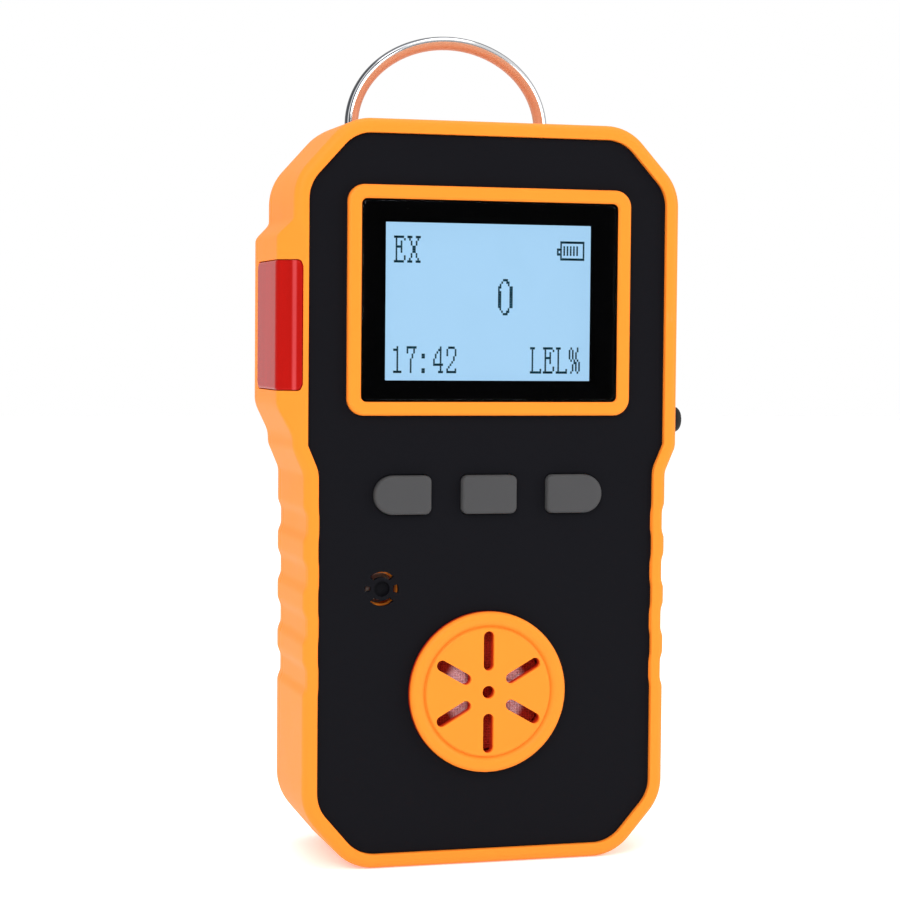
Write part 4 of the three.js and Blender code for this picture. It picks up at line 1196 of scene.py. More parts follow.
@dataclass
class FrontShell:
    """The orange front moulding: rim, side walls, lamp boss, grips and display bezel."""

    seam: float = 17.62
    rim: float = 0.7
    rim_round: float = 1.3
    recess: float = 2.25
    floor: float = 1.2
    inside: float = 3.4
    wall: float = 1.8
    socket: float = 1.7  # radius of the charging socket's hole
    bezel: Bezel = field(default_factory=Bezel)
    lens: LampLens = field(default_factory=LampLens)

    def levels(self) -> list[tuple[Pair, Pair]]:
        """Gives the skin's levels from the seam to the panel's recess, plain and on the boss."""
        section = self.lens.section
        start = self.rim_round - self.rim
        side = [17.4, *spread(16.6, 3.4, 14), 2.8, 2.4, 2.0, 1.6, 1.2, 0.8, start]
        low, high = side[-1], side[0]
        fold = section.fold[0][1]
        pairs = [((0.14, self.seam), (section.side + 0.14, self.seam))]
        pairs.append(((0.04, self.seam - 0.08), (section.side + 0.04, self.seam - 0.08)))
        for y in side:
            share = (y - low) / (high - low)
            pairs.append(((0.0, y), (section.side, fold + (high - fold) * share)))
        facet = [*section.fold[1:], (-0.8, 1.01), (0.3, 0.26), section.facet_end, (1.62, -0.62)]
        edge = [(run, start - rise) for run, rise in quarter(self.rim_round, len(facet))][1:]
        pairs += list(zip(edge, facet))
        flat = [(1.5, 1.78), (1.85, 1.92), (self.recess - 0.2, self.recess - 0.2)]
        pairs += [((a, -self.rim), (b, -self.rim)) for a, b in flat]
        ledge = [(self.recess - 0.06, -self.rim + 0.06), (self.recess, -self.rim + 0.2)]
        return pairs + [(level, level) for level in (*ledge, (self.recess, self.floor))]

    def make(self) -> None:
        """Builds the moulding and dresses it."""
        rings = [SKIN.ring(plain, bossed) for plain, bossed in self.levels()]
        inner = [(self.wall, self.inside), (self.wall, self.seam)]
        walls = [[(x, y, z) for x, z in SKIN.outline.drawn_in(inset)] for inset, y in inner]
        draft = Draft()
        rows = [draft.ring(points) for points in (walls[0], walls[1], *rings)]
        for a, b in zip(rows, rows[1:]):
            draft.bridge(a, b)
        draft.faces += [tuple(rows[0]), tuple(reversed(rows[-1]))]
        shell = draft.build("front_moulding")
        combine(shell, [self.bezel.draw(self.inside - 0.3, box_mm("window_gasket")[1][1] + 0.3)], Cut.ADD)
        combine(shell, [self.openings(), self.lens.shape("pocket", 0.1, 1.2, -1.4, 0)], Cut.TAKE)
        hand_in(shade(shell, 38), "orange", HOUSING, ["front_shell"])

    def openings(self) -> bpy.types.Object:
        """Draws the openings of the front wall as one cutter."""
        draft = Draft().prism(self.bezel.loop(self.bezel.bar + self.bezel.lap), *WALL_CUT)
        for i in range(len(KEYS)):
            draft.prism(key_loop(i, -0.25), *WALL_CUT)
        draft.prism(disc(0, CAP_Z, CAP_RADIUS + 0.2, 96), *WALL_CUT)
        draft.prism(disc(PORT.x, PORT.z, PORT.hole, 32), *WALL_CUT)
        side = SKIN.outline.upper
        draft.prism(disc(*PLUG_AXIS, self.socket, 24), side - 3, side + 1, Axis.X)
        return draft.build("openings")


@dataclass
class Port:
    """The sound port: four curved slits round a dimple in the panel, over a hole in the shell."""

    x: float = -16.85
    z: float = 43.2
    radii: Pair = (1.8, 2.65)
    hole: float = 2.4
    eye: float = 1.2
    slits: tuple[Pair, ...] = ((90, 44), (270, 44), (0, 15), (180, 10))

    def cutters(self) -> Draft:
        """Draws the slits as cutters."""
        draft = Draft()
        for middle, half in self.slits:
            angles = [math.radians(a) for a in spread(middle - half, middle + half, 12)]
            arc = [(self.radii[1], a) for a in angles] + [(self.radii[0], a) for a in reversed(angles)]
            draft.prism([(self.x + r * math.cos(a), self.z + r * math.sin(a)) for r, a in arc], *PANEL_CUT)
        return draft.prism(disc(self.x, self.z, self.eye, 32), -2, 0.75)


PORT = Port()
PLUG_AXIS = (6.4, 68.95)


@dataclass
class FrontPanel:
    """The black panel let into the front."""

    inset: float = 2.3
    thick: float = box_mm("front_panel")[1][1]
    bezel: Bezel = field(default_factory=Bezel)

    def make(self) -> None:
        """Builds the panel and dresses it."""
        edge = [(run, 0.12 - rise) for run, rise in quarter(0.12, 3)]
        levels = [(self.inset, self.thick), *[(self.inset + run, y) for run, y in edge]]
        panel = Draft().stack(SKIN.outline.drawn_in, levels).build("panel_sheet")
        cutter = PORT.cutters().prism(self.bezel.loop(-0.04), *PANEL_CUT)
        for i in range(len(KEYS)):
            cutter.prism(key_loop(i, -0.14), *PANEL_CUT)
        cutter.prism(disc(0, CAP_Z, CAP_RADIUS + 0.08, 128), *PANEL_CUT)
        combine(panel, [cutter.build("panel_cut")], Cut.TAKE)
        hand_in(shade(panel, 30), "panel_black", HOUSING, ["front_panel"])


@dataclass
class RearShell:
    """The orange rear moulding: long rounded edges, the ring's recess and lug, screw wells, label recess."""

    start: float = 17.66
    back: float = box_mm("rear_label")[1][1]
    turn: float = 18.2
    round_: float = 4.8
    draft: float = 0.03
    wall: float = 1.8
    lug_half: float = 9.0
    lug_r: float = 2.9
    bore: float = 1.25
    ring: Pair = (26.0, 108.0)
    notch: tuple[float, float, float] = (19.4, 103.6, 23.4)
    screws: tuple[Pair, ...] = ((-24.9, 99), (24.9, 99), (-23.2, 14), (23.2, 14))
    well: float = 2.3
    insert_z: float = 66.0

    def levels(self) -> list[tuple[Pair, Pair]]:
        """Gives the skin's levels from the seam to the back face, plain and on the boss."""
        proud = SKIN.boss_proud
        turn = self.turn
        seam = [(0.14, self.start), (0.04, self.start + 0.08)]
        side = [(self.draft * (y - self.start) / (turn - self.start), y) for y in (17.9, turn)]
        pairs = [((inset, y), (inset - proud, y)) for inset, y in seam + side]
        for t in spread(4, 90, 23):
            a = math.radians(t)
            inset = self.draft + self.round_ * (1 - math.cos(a))
            y = turn + (self.back - turn) * math.sin(a)
            pairs.append(((inset, y), (inset - proud * (1 - smooth((t - 12) / 52)), y)))
        return pairs

    def make(self) -> None:
        """Builds the moulding and dresses it."""
        rings = [SKIN.ring(plain, bossed) for plain, bossed in self.levels()]
        floor = (self.wall + self.round_ - 1.4, self.back - self.wall)
        inner = [floor, (self.wall, 21.0), (self.wall, self.start)]
        walls = [[(x, y, z) for x, z in SKIN.outline.drawn_in(inset)] for inset, y in inner]
        shell = Draft().tower([*walls, *rings]).build("rear_moulding")
        half, low, deep = self.notch
        wall = self.wall
        box = rounded((-half - wall, half + wall), (low - wall, 113.0), [1.5] * 4)
        tray = Draft().prism(box, deep - wall, 26.2)
        combine(shell, [tray.build("tray")], Cut.ADD)
        notch = Draft().prism(rounded((-half, half), (low, 118.0), [1.2] * 4), deep, self.back + 3)
        combine(shell, [notch.build("notch")], Cut.TAKE)
        combine(shell, [self.lug()], Cut.ADD)
        y, z = self.ring
        cutter = Draft().prism(disc(y, z, self.bore, 40), -self.lug_half - 2, self.lug_half + 2, Axis.X)
        combine(shell, [cutter.build("bore"), self.wells()], Cut.TAKE)
        hand_in(shade(shell, 36), "orange", HOUSING, ["rear_shell"])

    def lug(self) -> bpy.types.Object:
        """Draws the lug that holds the ring's bar."""
        y, z = self.ring
        r, deep = self.lug_r, self.notch[2]
        over = [(y + r * math.cos(a), z + r * math.sin(a)) for a in spread(-math.pi / 2, math.pi / 2, 32)]
        foot = [(deep - 0.8, r + 1.2), (deep, r + 1.1), (y - 1.6, r)]
        section = [(p, z - half) for p, half in foot] + over + [(p, z + half) for p, half in reversed(foot)]
        soft = 0.5
        levels = []
        for _, rise in quarter(soft, 4):
            lost = soft - math.sqrt(max(soft**2 - rise**2, 0))
            levels.append((self.lug_half - soft + rise, 1 - lost / r))
        rings = []
        for x, share in [(-x, s) for x, s in reversed(levels)] + levels:
            rings.append([(x, y + (p - y) * share, z + (q - z) * share) for p, q in section])
        return Draft().tower(rings).build("lug")

    def wells(self) -> bpy.types.Object:
        """Draws the screw wells, the clip's insert hole and the label's recess as one cutter."""
        draft = Draft()
        head = box_mm("case_screw_1")[1][1]
        for x, z in self.screws:
            sides = [(self.well, head - 1.9), (self.well, self.back - 0.3)]
            mouth = [(self.well + 0.45, self.back + 0.1), (self.well + 0.45, self.back + 2)]
            draft.turn([(0, head - 1.9), *sides, *mouth, (0, self.back + 2)], (x, z), steps=40)
        draft.prism(disc(0, self.insert_z, 2.35, 40), self.back - 3, self.back + 2)
        x, _, z = box_mm("rear_label")
        draft.prism(rounded(x, z, [1.4] * 4, inset=-0.15), self.back - 0.5, self.back + 2)
        return draft.build("wells")


@dataclass
class Label:
    """The plain plate on the back, with a raised border."""

    border: float = 1.1
    corner: float = 1.2

    def make(self) -> None:
        """Builds the plate and dresses it."""
        x, y, z = box_mm("rear_label")

        def loop(inset: float) -> Loop:
            """Draws the plate's outline moved in."""
            return rounded(x, z, [max(self.corner - inset, 0.3)] * 4, inset=inset)

        face = y[1] - 0.08
        bead = [(0, 0), (0.05, 0.06), (0.3, 0.06), (0.35, 0)]
        levels = [(0, y[0]), (0, face - 0.1), (0.1, face)]
        levels += [(self.border + inset, face + rise) for inset, rise in bead]
        plate = Draft().stack(loop, levels)
        hand_in(shade(plate.build("label_plate"), 30), "white_plastic", HOUSING, ["rear_label"])


# ---- Keys ----------------------------------------------------------------------------------
@dataclass
class Key:
    """One rubber key with a rounded edge and a slightly crowned face."""

    index: int
    edge: float = 0.5
    crown: float = 0.14
    foot: float = 4.9
    plunger: float = 1.4

    def make(self) -> None:
        """Builds the key and dresses it."""
        node = f"key_{KEYS[self.index]}"
        x, y, z = box_mm(node)
        front = y[0]
        levels = [(0.0, self.foot), (0.0, front + self.crown + self.edge)]
        levels += [(run, front + self.crown + self.edge - rise) for run, rise in quarter(self.edge, 6)][1:]
        reach = (z[1] - z[0]) / 2 - 0.35
        for t in spread(0, 1, 7)[1:]:
            levels.append((self.edge + (reach - self.edge) * t, front + self.crown * (1 - t) ** 2))
        key = Draft().stack(lambda inset: key_loop(self.index, inset), levels).build(f"{node}_cap")
        end = disc(sum(x) / 2, sum(z) / 2, self.plunger, 24)
        stem = Draft().prism(end, self.foot - 0.5, y[1])
        combine(key, [stem.build("stem")], Cut.ADD)
        hand_in(shade(key, 40), "key_rubber", node, [node])


# ---- Display -------------------------------------------------------------------------------
GLYPHS = {
    "E": "######. .#....# .#..#.. .#..#.. .####.. .#..#.. .#..#.. .#..... .#....# .#....# ######.",
    "X": "###..### .#....#. ..#..#.. ..#..#.. ...##... ...##... ...##... ..#..#.. ..#..#.. .#....#. ###..###",
    "L": "###.... .#..... .#..... .#..... .#..... .#..... .#..... .#..... .#..... .#....# #######",
    "%": ".#...#. #.#..#. #.#.#.. #.#.#.. #.#.#.. .#.#.#. ...##.# ..#.#.# ..#.#.# ..#.#.# .#...#.",
    "1": "...#... .###... ...#... ...#... ...#... ...#... ...#... ...#... ...#... ...#... .#####.",
    "7": ".###### .#...#. .#...#. ....#.. ....#.. ...#... ...#... ...#... ...#... ...#... ...#...",
    "4": ".....#. ....##. ...#.#. ..#..#. ..#..#. .#...#. .#...#. .###### .....#. .....#. ....###",
    "2": "..####. .#....# .#....# .#....# .....#. .....#. ....#.. ...#... ..#.... .#....# .######",
    ":": "....... ....... ....... ..##... ..##... ....... ....... ....... ....... ..##... ..##...",
}
CELL = (
    "..############### ..#.............# ..#.#.#.#.#.#...# ###.#.#.#.#.#...# #.#.#.#.#.#.#...# "
    "###.#.#.#.#.#...# ..#.............# ..###############"
)
ZERO = (
    "....###... ...#..##.. ..#....#.. .##.....## .#......## .##.....## .##.....## .##.....## "
    ".##.....## .##.....## .##.....## .##.....## ..#....#.. ...#..##.. ....###..."
)


@dataclass
class Display:
    """The window, its black frame, the lit screen and the dots of its readout."""

    half: float = 16.6
    z: Pair = (75.16, 99.36)
    lip: float = 0.25  # black edge of the frame that shows round the window
    dot: Pair = (0.2665, 0.378)
    start: Pair = (-15.3, 99.3)  # upper left corner of the dots
    filled: float = 0.97  # share of its cell that a dot fills
    ink: float = 0.04  # thickness of a dot
    bezel: Bezel = field(default_factory=Bezel)

    def make(self) -> None:
        """Builds the display and dresses it."""
        self.window()
        self.frame()
        self.screen()
        self.readout()

    def window(self) -> None:
        """Builds the clear window."""
        _, y, _ = box_mm("display_window")
        inset = self.bezel.bar + self.lip + 0.02
        levels = [(inset, y[1]), (inset, y[0] + 0.12), (inset + 0.04, y[0] + 0.04), (inset + 0.12, y[0])]
        pane = Draft().stack(self.bezel.loop, levels)
        hand_in(shade(pane.build("window_pane"), 30), "clear_cover", HOUSING, ["display_window"])

    def frame(self) -> None:
        """Builds the black frame behind the window."""
        back = box_mm("window_gasket")[1][1]
        _, (face, rear), _ = box_mm("display_window")
        outer, lip = (self.bezel.loop(self.bezel.bar + i) for i in (0.02, self.lip))
        inner = rounded((-self.half, self.half), self.z, [0.12] * 4, 10)
        levels = ((outer, back), (outer, face + 0.02), (lip, face + 0.02), (lip, rear + 0.04))
        levels += ((inner, rear + 0.04), (inner, back))
        rings = [[(px, depth, pz) for px, pz in loop] for loop, depth in levels]
        piece = Draft().tower(rings, endless=True).build("display_frame")
        hand_in(shade(piece, 30), "black_rubber", HOUSING, ["window_gasket"], "frame_print")

    def screen(self) -> None:
        """Builds the liquid crystal's glass."""
        x, y, z = box_mm("lcd_glass")
        levels = [(0, y[1]), (0, y[0] + 0.1), (0.1, y[0])]
        glass = Draft().stack(lambda inset: rounded(x, z, [0.3] * 4, inset=inset), levels)
        hand_in(shade(glass.build("screen_glass"), 30), "screen", HOUSING, ["lcd_glass"])

    def dots(self) -> list[tuple[int, int]]:
        """Lists column and row of each dark dot, from the upper left."""
        found = []

        def stamp(art: str, column: int, row: int) -> None:
            """Adds the dots of one figure."""
            for r, line in enumerate(art.split()):
                found.extend((column + c, row + r) for c, mark in enumerate(line) if mark == "#")

        for text, column, row in (("EX", 3, 5), ("17:42", 2, 50), ("LEL%", 86, 50)):
            for i, letter in enumerate(text):
                stamp(GLYPHS[letter], column + 8 * i, row)
        stamp(CELL, 102, 6)
        stamp(ZERO, 65, 22)
        return found

    def readout(self) -> None:
        """Builds the readout's dots just over the screen."""
        _, y, _ = box_mm("lcd_glass")
        wide, tall = self.dot
        x, z = self.start
        points = [(x + (c + 0.5) * wide, y[0] - 0.05, z - (r + 0.5) * tall) for c, r in self.dots()]
        tree = Repeat("readout_dots")
        width = tree.size("Width", self.filled * wide * MM)
        height = tree.size("Height", self.filled * tall * MM)
        size = tree.vector(X=width, Y=tree.size("Thickness", self.ink * MM), Z=height)
        dot = tree.add("GeometryNodeMeshCube", {}, {"Size": size})
        made = tree.copies(Value(tree, tree.start.outputs[0]), dot)
        piece = tree.run(made, "black_plastic", points)
        hand_in(piece, "black_plastic", HOUSING, (), "segment")


# ---- Sensor --------------------------------------------------------------------------------
UPRIGHT = (math.pi / 2, 0, 0)  # stands what is drawn flat on its edge


@dataclass
class SensorCap:
    """The round orange cap over the gas sensor, with its slots and the wire mesh behind them."""

    radius: float = CAP_RADIUS
    z: float = CAP_Z
    face: float = box_mm("sensor_cap")[1][0]
    back: float = box_mm("sensor_cap")[1][1]
    slots: int = 6
    slot_radii: Pair = (3.35, 9.5)
    slot_wide: float = 1.7
    eye: float = 1.0
    groove: tuple[Pair, ...] = (
        (2.65, 0.30), (2.5, 0.4), (2.42, 0.62), (2.3, 0.7), (2.18, 0.62),
        (2.05, 0.4), (1.85, 0.24), (1.55, 0.1), (1.2, 0.02), (0.95, 0.0),
    )  # inset and fall of the groove round the face and the crown outside it
    mesh_radius: float = box_mm("sensor_mesh")[0][1]
    wire: float = 0.085
    pitch: float = 0.42

    def make(self) -> None:
        """Builds the cap and the mesh and dresses them."""
        r, f = self.radius, self.face
        rim = [(r - inset, f + fall) for inset, fall in self.groove]
        turn = spread(0.15, math.pi / 2, 7)
        edge = [(r - 0.7 + 0.7 * math.sin(a), f + 0.7 - 0.7 * math.cos(a)) for a in turn]
        inner = [(r, self.back), (r - 3, self.back), (r - 3, 0.5)]
        profile = [(0, f + 0.27), (1.5, f + 0.27), (r - 2.8, f + 0.27), *rim, *edge, *inner, (0, 0.5)]
        cap = Draft().turn(profile, (0, self.z), steps=160).build("sensor_cap_moulding")
        eye = Draft().prism(disc(0, self.z, self.eye, 40), f - 1, 2).build("eye")
        combine(cap, [self.slot_cutters(), eye], Cut.TAKE)
        # The cap's finish paints shade down in its slots and groove.
        hand_in(shade(cap, 34), "orange", HOUSING, ["sensor_cap"], "cap_orange_painted_shade")
        self.mesh()

    def slot_cutters(self) -> bpy.types.Object:
        """Draws the slots' cutters with a tree that turns one round-ended slot about the cap's axis."""
        tree = Repeat("slot_cutters")
        count = tree.size("Count", self.slots)
        near, far = (tree.size(name, r * MM) for name, r in zip(("Near", "Far"), self.slot_radii))
        wide = tree.size("Width", self.slot_wide * MM)
        quad = tree.add("GeometryNodeCurvePrimitiveQuadrilateral", {}, {"Width": wide, "Height": far - near})
        ends = {"Curve": quad, "Radius": wide * 0.499, "Count": 10}
        slot = tree.add("GeometryNodeFilletCurve", {"mode": "POLY"}, ends)
        flat = tree.add("GeometryNodeFillCurve", {"mode": "NGONS"}, {"Curve": slot})
        out = tree.moved(flat, Translation=tree.vector(Y=(near + far) * 0.5))
        line = tree.add("GeometryNodeMeshLine", {}, {"Count": count, "Offset": (0, 0, 0)})
        turn = tree.vector(Z=tree.add("GeometryNodeInputIndex") / count * math.tau)
        rotation = tree.add("FunctionNodeEulerToRotation", {}, {"Euler": turn})
        made = tree.real(tree.copies(line, out, Rotation=rotation))
        stood = tree.moved(made, Translation=to_frame((0, 2.0, self.z)), Rotation=UPRIGHT)
        piece = tree.run(stood, None)
        thick = piece.modifiers.new("thick", "SOLIDIFY")
        thick.thickness = 8 * MM
        thick.offset = 0
        mend(settle(piece).data, outwards)
        return piece

    def mesh(self) -> None:
        """Builds the woven wire disc behind the slots."""
        tree = Repeat("wire_mesh")
        lines = int(2 * self.mesh_radius / self.pitch)
        pitch, wire = tree.size("Pitch", self.pitch * MM), tree.size("Wire", self.wire * MM)
        reach = tree.size("Radius", self.mesh_radius * MM)
        count, steps = tree.size("Lines", lines), tree.size("Steps", 3 * lines)
        ends = {"Start": tree.vector(X=reach * -1.0), "End": tree.vector(X=reach)}
        one = tree.add("GeometryNodeCurvePrimitiveLine", {}, ends)
        fine = tree.add("GeometryNodeResampleCurve", {}, {"Curve": one, "Count": steps})
        row = tree.add("GeometryNodeMeshLine", {}, {"Count": count, "Offset": tree.vector(Y=pitch)})
        middle = pitch * (count - 1.0) * -0.5
        warp = tree.real(tree.copies(tree.moved(row, Translation=tree.vector(Y=middle)), fine))
        weft = tree.moved(warp, Rotation=(0, 0, math.pi / 2))
        profile = tree.add("GeometryNodeCurvePrimitiveCircle", {}, {"Resolution": 4, "Radius": wire})
        both = tree.tree.nodes.new("GeometryNodeJoinGeometry")
        for curves, sign in ((warp, 1.0), (weft, -1.0)):
            at = tree.add("GeometryNodeInputPosition")
            along, across = (
                ((tree.add("ShaderNodeSeparateXYZ", {}, {0: at}, axis) - middle) / pitch * math.pi).cosine()
                for axis in ("X", "Y")
            )
            lift = tree.vector(Z=along * across * (wire * sign))
            woven = tree.add("GeometryNodeSetPosition", {}, {"Geometry": curves, "Offset": lift})
            far = tree.add("ShaderNodeVectorMath", {"operation": "LENGTH"}, {0: at}, "Value")
            larger = {"data_type": "FLOAT", "operation": "GREATER_THAN"}
            outside = tree.add("FunctionNodeCompare", larger, {0: far, 1: reach})
            chosen = {"Geometry": woven, "Selection": outside}
            kept = tree.add("GeometryNodeDeleteGeometry", {"domain": "POINT"}, chosen)
            sweep = {"Curve": kept, "Profile Curve": profile, "Fill Caps": True}
            tree.feed(both.inputs[0], tree.add("GeometryNodeCurveToMesh", {}, sweep))
        place = to_frame((0, 0.78, self.z))
        stood = tree.moved(Value(tree, both.outputs[0]), Translation=place, Rotation=UPRIGHT)
        piece = tree.run(stood, "screw_steel")
        # The wires and their backing take the finish with painted side reflection and painted shade.
        hand_in(shade(piece, 60), "screw_steel", HOUSING, (), "sensor_filter_painted_light")
        _, y, _ = box_mm("sensor_mesh")
        r = self.mesh_radius
        profile = [(0, 1.0), (r - 0.2, 1.0), (r, 1.05), (r, y[1]), (0, y[1])]
        backing = Draft().turn(profile, (0, self.z), steps=64).build("mesh_backing")
        hand_in(shade(backing, 30), "white_plastic", HOUSING, ["sensor_mesh"], "sensor_filter_painted_light")


# ---- Ring, plug and clip -------------------------------------------------------------------
@dataclass
class HangRing:
    """The polished wire ring: a straight bar in the lug and a half ellipse over the top."""

    y: float = 26.0
    z: float = 108.0
    half: float = 16.1
    leg: float = 8.2
    bow: float = 13.8
    corner: float = 3.0
    wire: float = 1.1
    sides: int = 32

    def path(self) -> Loop:
        """Gives X and Z of the wire's middle line."""
        c, half = self.corner, self.half
        bar = [(x, self.z) for x in spread(-half + c, half - c, 24)]
        turn = spread(0, math.pi / 2, 10)[1:]
        corner = [(half - c + c * math.sin(a), self.z + c * (1 - math.cos(a))) for a in turn]
        over = spread(0, math.pi, 110)
        bow = [(half * math.cos(a), self.z + self.leg + self.bow * math.sin(a)) for a in over]
        return bar + corner + bow + [(-x, z) for x, z in reversed(corner)]

    def make(self) -> None:
        """Builds the ring and dresses it."""
        path = [(x, self.y, z) for x, z in self.path()]
        ring = Draft().tube(path, self.wire, self.sides, Vector((0, -1, 0)), closed=True).build("wire_ring")
        # Each point stores which way it faces round the wire; the ring's finish places its painted reflections
        # by it.
        outward = ring.data.attributes.new("outward", "FLOAT", "POINT")
        around = [math.cos(a) for a in spread(0, math.tau, self.sides)[:-1]]
        outward.data.foreach_set("value", around * len(path))
        hand_in(shade(ring, 60), "polished_steel", "hang_ring", ["hang_ring"], "ring_steel_painted_reflections")


@dataclass
class Plug:
    """The domed rubber plug of the charging socket."""

    radius: float = 2.1
    stem: float = 1.5
    proud: float = 2.9

    def make(self) -> None:
        """Builds the plug and dresses it."""
        (x0, x1), _, _ = box_mm("port_plug")
        wall = SKIN.outline.upper
        soft = self.radius - 1.0
        top = wall + self.proud
        dome = [(1.0 + soft * math.cos(a), top - soft * (1 - math.sin(a))) for a in spread(0, 1.57, 9)]
        stem = [(0, x0), (1.2, x0), (self.stem, x0 + 0.3), (self.stem, wall + 0.2)]
        flange = [(self.radius - 0.15, wall + 0.2), (self.radius, wall + 0.35)]
        profile = [*stem, *flange, *dome, (0, x1)]
        piece = Draft().turn(profile, PLUG_AXIS, Axis.X, 48).build("plug_moulding")
        hand_in(shade(piece, 45), "black_rubber", "port_plug", ["port_plug"])


SAME_POINT = 2e-6  # metres between points that are one
LEVEL = math.radians(1.5)  # angle under which neighbouring faces are one
EDGE_ANGLE = 33  # degrees past which an edge is eased


def refine(node: str, name: str, bevel: float) -> bpy.types.Object:
    """Copies a node's mesh and eases its edges.

    Args:
        node: The node.
        name: Name of the new piece.
        bevel: Width of the eased edge in millimetres.

    Returns:
        The new piece.
    """
    def plain(work: bmesh.types.BMesh) -> None:
        """Joins points that lie together and faces that are level."""
        bmesh.ops.remove_doubles(work, verts=work.verts, dist=SAME_POINT)
        bmesh.ops.dissolve_limit(work, angle_limit=LEVEL, verts=work.verts, edges=work.edges)

    mesh = frame["nodes"][node].data.copy()
    mend(mesh, plain)
    mesh.materials.clear()
    return shade(placed(name, mesh), EDGE_ANGLE, bevel)


@dataclass
class ClipSpring:
    """The clip's torsion spring, its upper leg kept clear of the lever's swing."""

    wire: float = 0.35
    radius: float = 1.7
    turns: float = 3.5
    leg: Pair = (1.25, 4.6)  # end of the upper leg, behind and above the pin
    plate_leg: float = 9.0

    def make(self) -> None:
        """Builds the spring and dresses it."""
        pin_y, pin_z = (sum(ends) / 2 for ends in box_mm("clip_pin")[1:])
        reach = box_mm("clip_spring")[0][1] - self.wire
        plate = box_mm("clip_spring")[1][0] + self.wire
        path = [(-reach, plate, pin_z + self.plate_leg), (-reach, plate + 0.1, pin_z + 5)]
        steps = round(self.turns * 24)
        for i in range(steps + 1):
            a = math.pi + math.tau * self.turns * i / steps
            side = -reach + 2 * reach * i / steps
            path.append((side, pin_y + self.radius * math.cos(a), pin_z + self.radius * math.sin(a)))
        path.append((reach, pin_y + self.radius - 0.05, pin_z + 1.6))
        path.append((reach, pin_y + self.leg[0], pin_z + self.leg[1]))
        spring = Draft().tube(path, self.wire, 12, Vector((1, 0, 0))).build("spring_wire")
        hand_in(shade(spring, 60), "screw_steel", HOUSING, ["clip_spring"])


@dataclass
class Hardware:
    """The clip and the screws, from the frame's own shapes with their edges eased."""

    # node, piece, slot, eased edge and body
    eased: tuple[tuple[str, str, str, float, str], ...] = (
        ("clip_plate", "clip_plate_pressing", "sheet_steel", 0.22, HOUSING),
        ("clip_lever", "clip_lever_pressing", "sheet_steel", 0.25, "clip_lever"),
        ("clip_pin", "clip_pin_turned", "polished_steel", 0.18, HOUSING),
        ("clip_screw", "clip_screw_turned", "screw_steel", 0.12, HOUSING),
        *((f"case_screw_{i}", f"case_screw_turned_{i}", "screw_steel", 0.12, HOUSING) for i in range(1, 5)),
    )

    def make(self) -> None:
        """Builds each piece and dresses it."""
        for node, name, slot, bevel, body in self.eased:
            hand_in(refine(node, name, bevel), slot, body, [node])


def dress_frame() -> None:
    """Gives every node that stays its finish, by its slot in the record."""
    for part in frame["record"]["subparts"]:
        node = frame["nodes"][part["node"]]
        if not node.hide_render:
            node.data.materials.clear()
            node.data.materials.append(Paints.of(part["material_slot"]))


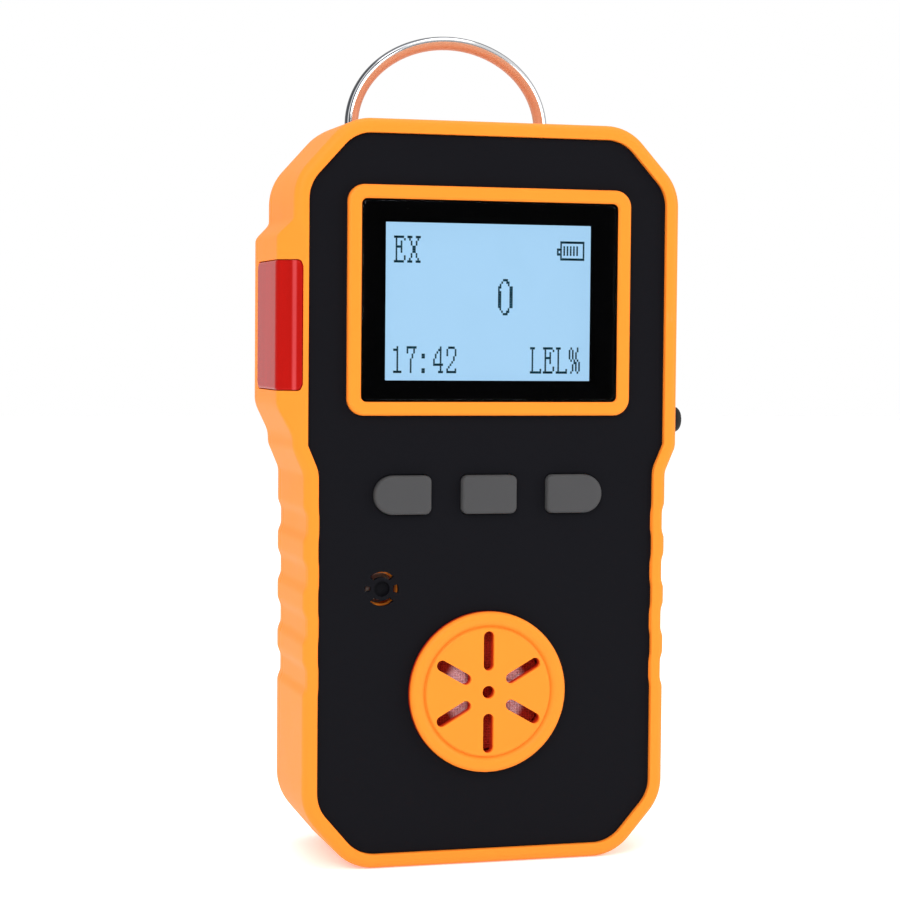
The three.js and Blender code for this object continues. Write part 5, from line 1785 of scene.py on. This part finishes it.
# ---- Stage ---------------------------------------------------------------------------------
@dataclass
class Studio:
    """The pale floor, the soft lights and the camera."""

    azimuth: float = -15.61
    elevation: float = 2.75
    roll: float = 0.492
    lens: float = 92.9
    distance: float = 357.8
    target: Point = (-6.221, 0.0, 64.481)
    lamps: tuple[tuple[str, Point, float, float], ...] = (
        ("key", (-0.24, -0.46, 0.40), 0.36, 2.3),
        ("fill", (0.50, -0.30, 0.26), 0.36, 1.5),
        ("top", (0.0, 0.05, 0.62), 0.5, 1.2),
    )  # name, place in metres, side in metres, watts
    pale: Colour = (0.93, 0.93, 0.935)
    glow: float = 0.33  # light of the floor itself
    front: Point = (0.2, -0.98, 0.0)  # the way the front looks
    edge: Pair = (0.62, 0.88)  # where the dark ahead starts and is full, as a cosine
    bright: Pair = (0.82, 0.03)  # light of the surroundings all round, and ahead

    def make(self) -> None:
        """Builds the stage."""
        bpy.context.scene.view_settings.view_transform = "Standard"
        self.floor()
        self.sky()
        self.camera()
        for name, place, size, power in self.lamps:
            self.lamp(name, place, size, power)

    def floor(self) -> None:
        """Builds the floor."""
        g = Graph("floor")
        pale = rgba(self.pale)
        g.set(Base_Color=g.mix(g.noise(40, 3), pale, rgba(self.pale, 0.99)), Roughness=0.85)
        g.set(Specular_IOR_Level=0.1, Emission_Color=pale, Emission_Strength=self.glow)
        mesh = bpy.data.meshes.new("floor")
        corners = [(x, y, -0.00005) for x, y in ((-2, -0.5), (2, -0.5), (2, 2), (-2, 2))]
        mesh.from_pydata(corners, [], [(0, 1, 2, 3)])
        mesh.materials.append(g.material)
        placed("floor", mesh)

    def sky(self) -> None:
        """Sets the surroundings: pale all round and dark ahead of the front."""
        world = bpy.data.worlds.new("studio")
        bpy.context.scene.world = world
        world.use_nodes = True
        g = Nodes(world.node_tree)
        way = g.add("ShaderNodeTexCoord", output="Generated")
        ahead = g.add("ShaderNodeVectorMath", {"operation": "DOT_PRODUCT"}, {0: way, 1: self.front}, "Value")
        ends = zip(("From Min", "From Max", "To Min", "To Max"), self.edge + self.bright)
        light = g.add("ShaderNodeMapRange", {}, {"Value": ahead, **dict(ends)})
        camera = g.add("ShaderNodeLightPath", output="Is Camera Ray")
        back = world.node_tree.nodes["Background"].inputs
        g.feed(back["Strength"], g.add("ShaderNodeMix", {}, {0: camera, 2: light, 3: 1.0}))
        back["Color"].default_value = (1, 1, 1, 1)

    def lamp(self, name: str, place: Point, size: float, power: float) -> None:
        """Adds a soft light that looks at the object.

        Args:
            name: Its name.
            place: Where it stands, in metres.
            size: Its side, in metres.
            power: Its power in watts.
        """
        data = bpy.data.lights.new(name, "AREA")
        data.size = size
        data.energy = power
        light = placed(name, data)
        light.location = place
        aim = Vector((0, 0, 0.06)) - Vector(place)
        light.rotation_euler = aim.to_track_quat("-Z", "Y").to_euler()
        light.visible_camera = False

    def camera(self) -> None:
        """Sets the camera."""
        a, e, r = (math.radians(v) for v in (self.azimuth, self.elevation, self.roll))
        back = Vector((math.sin(a) * math.cos(e), -math.cos(a) * math.cos(e), math.sin(e)))
        right = Vector((math.cos(a), math.sin(a), 0))
        up = back.cross(right)
        right, up = right * math.cos(r) + up * math.sin(r), up * math.cos(r) - right * math.sin(r)
        data = bpy.data.cameras.new("camera")
        data.lens = self.lens
        data.clip_start = 0.01
        camera = placed("camera", data)
        turn = Matrix((right, up, back)).transposed().to_4x4()
        camera.matrix_world = Matrix.Translation(to_frame(self.target) + back * self.distance * MM) @ turn
        bpy.context.scene.camera = camera


def main() -> None:
    """Builds the studio and every piece."""
    logging.basicConfig(level=logging.INFO, format="%(message)s")
    Studio().make()
    shell = FrontShell()
    case = [shell, RearShell(), FrontPanel(), Label(), shell.lens, Display(), SensorCap()]
    keys = [Key(index) for index in range(len(KEYS))]
    for part in (*case, *keys, HangRing(), Plug(), Hardware(), ClipSpring()):
        part.make()
        log.info("built %s", type(part).__name__)
    dress_frame()


if __name__ == "__main__":
    main()
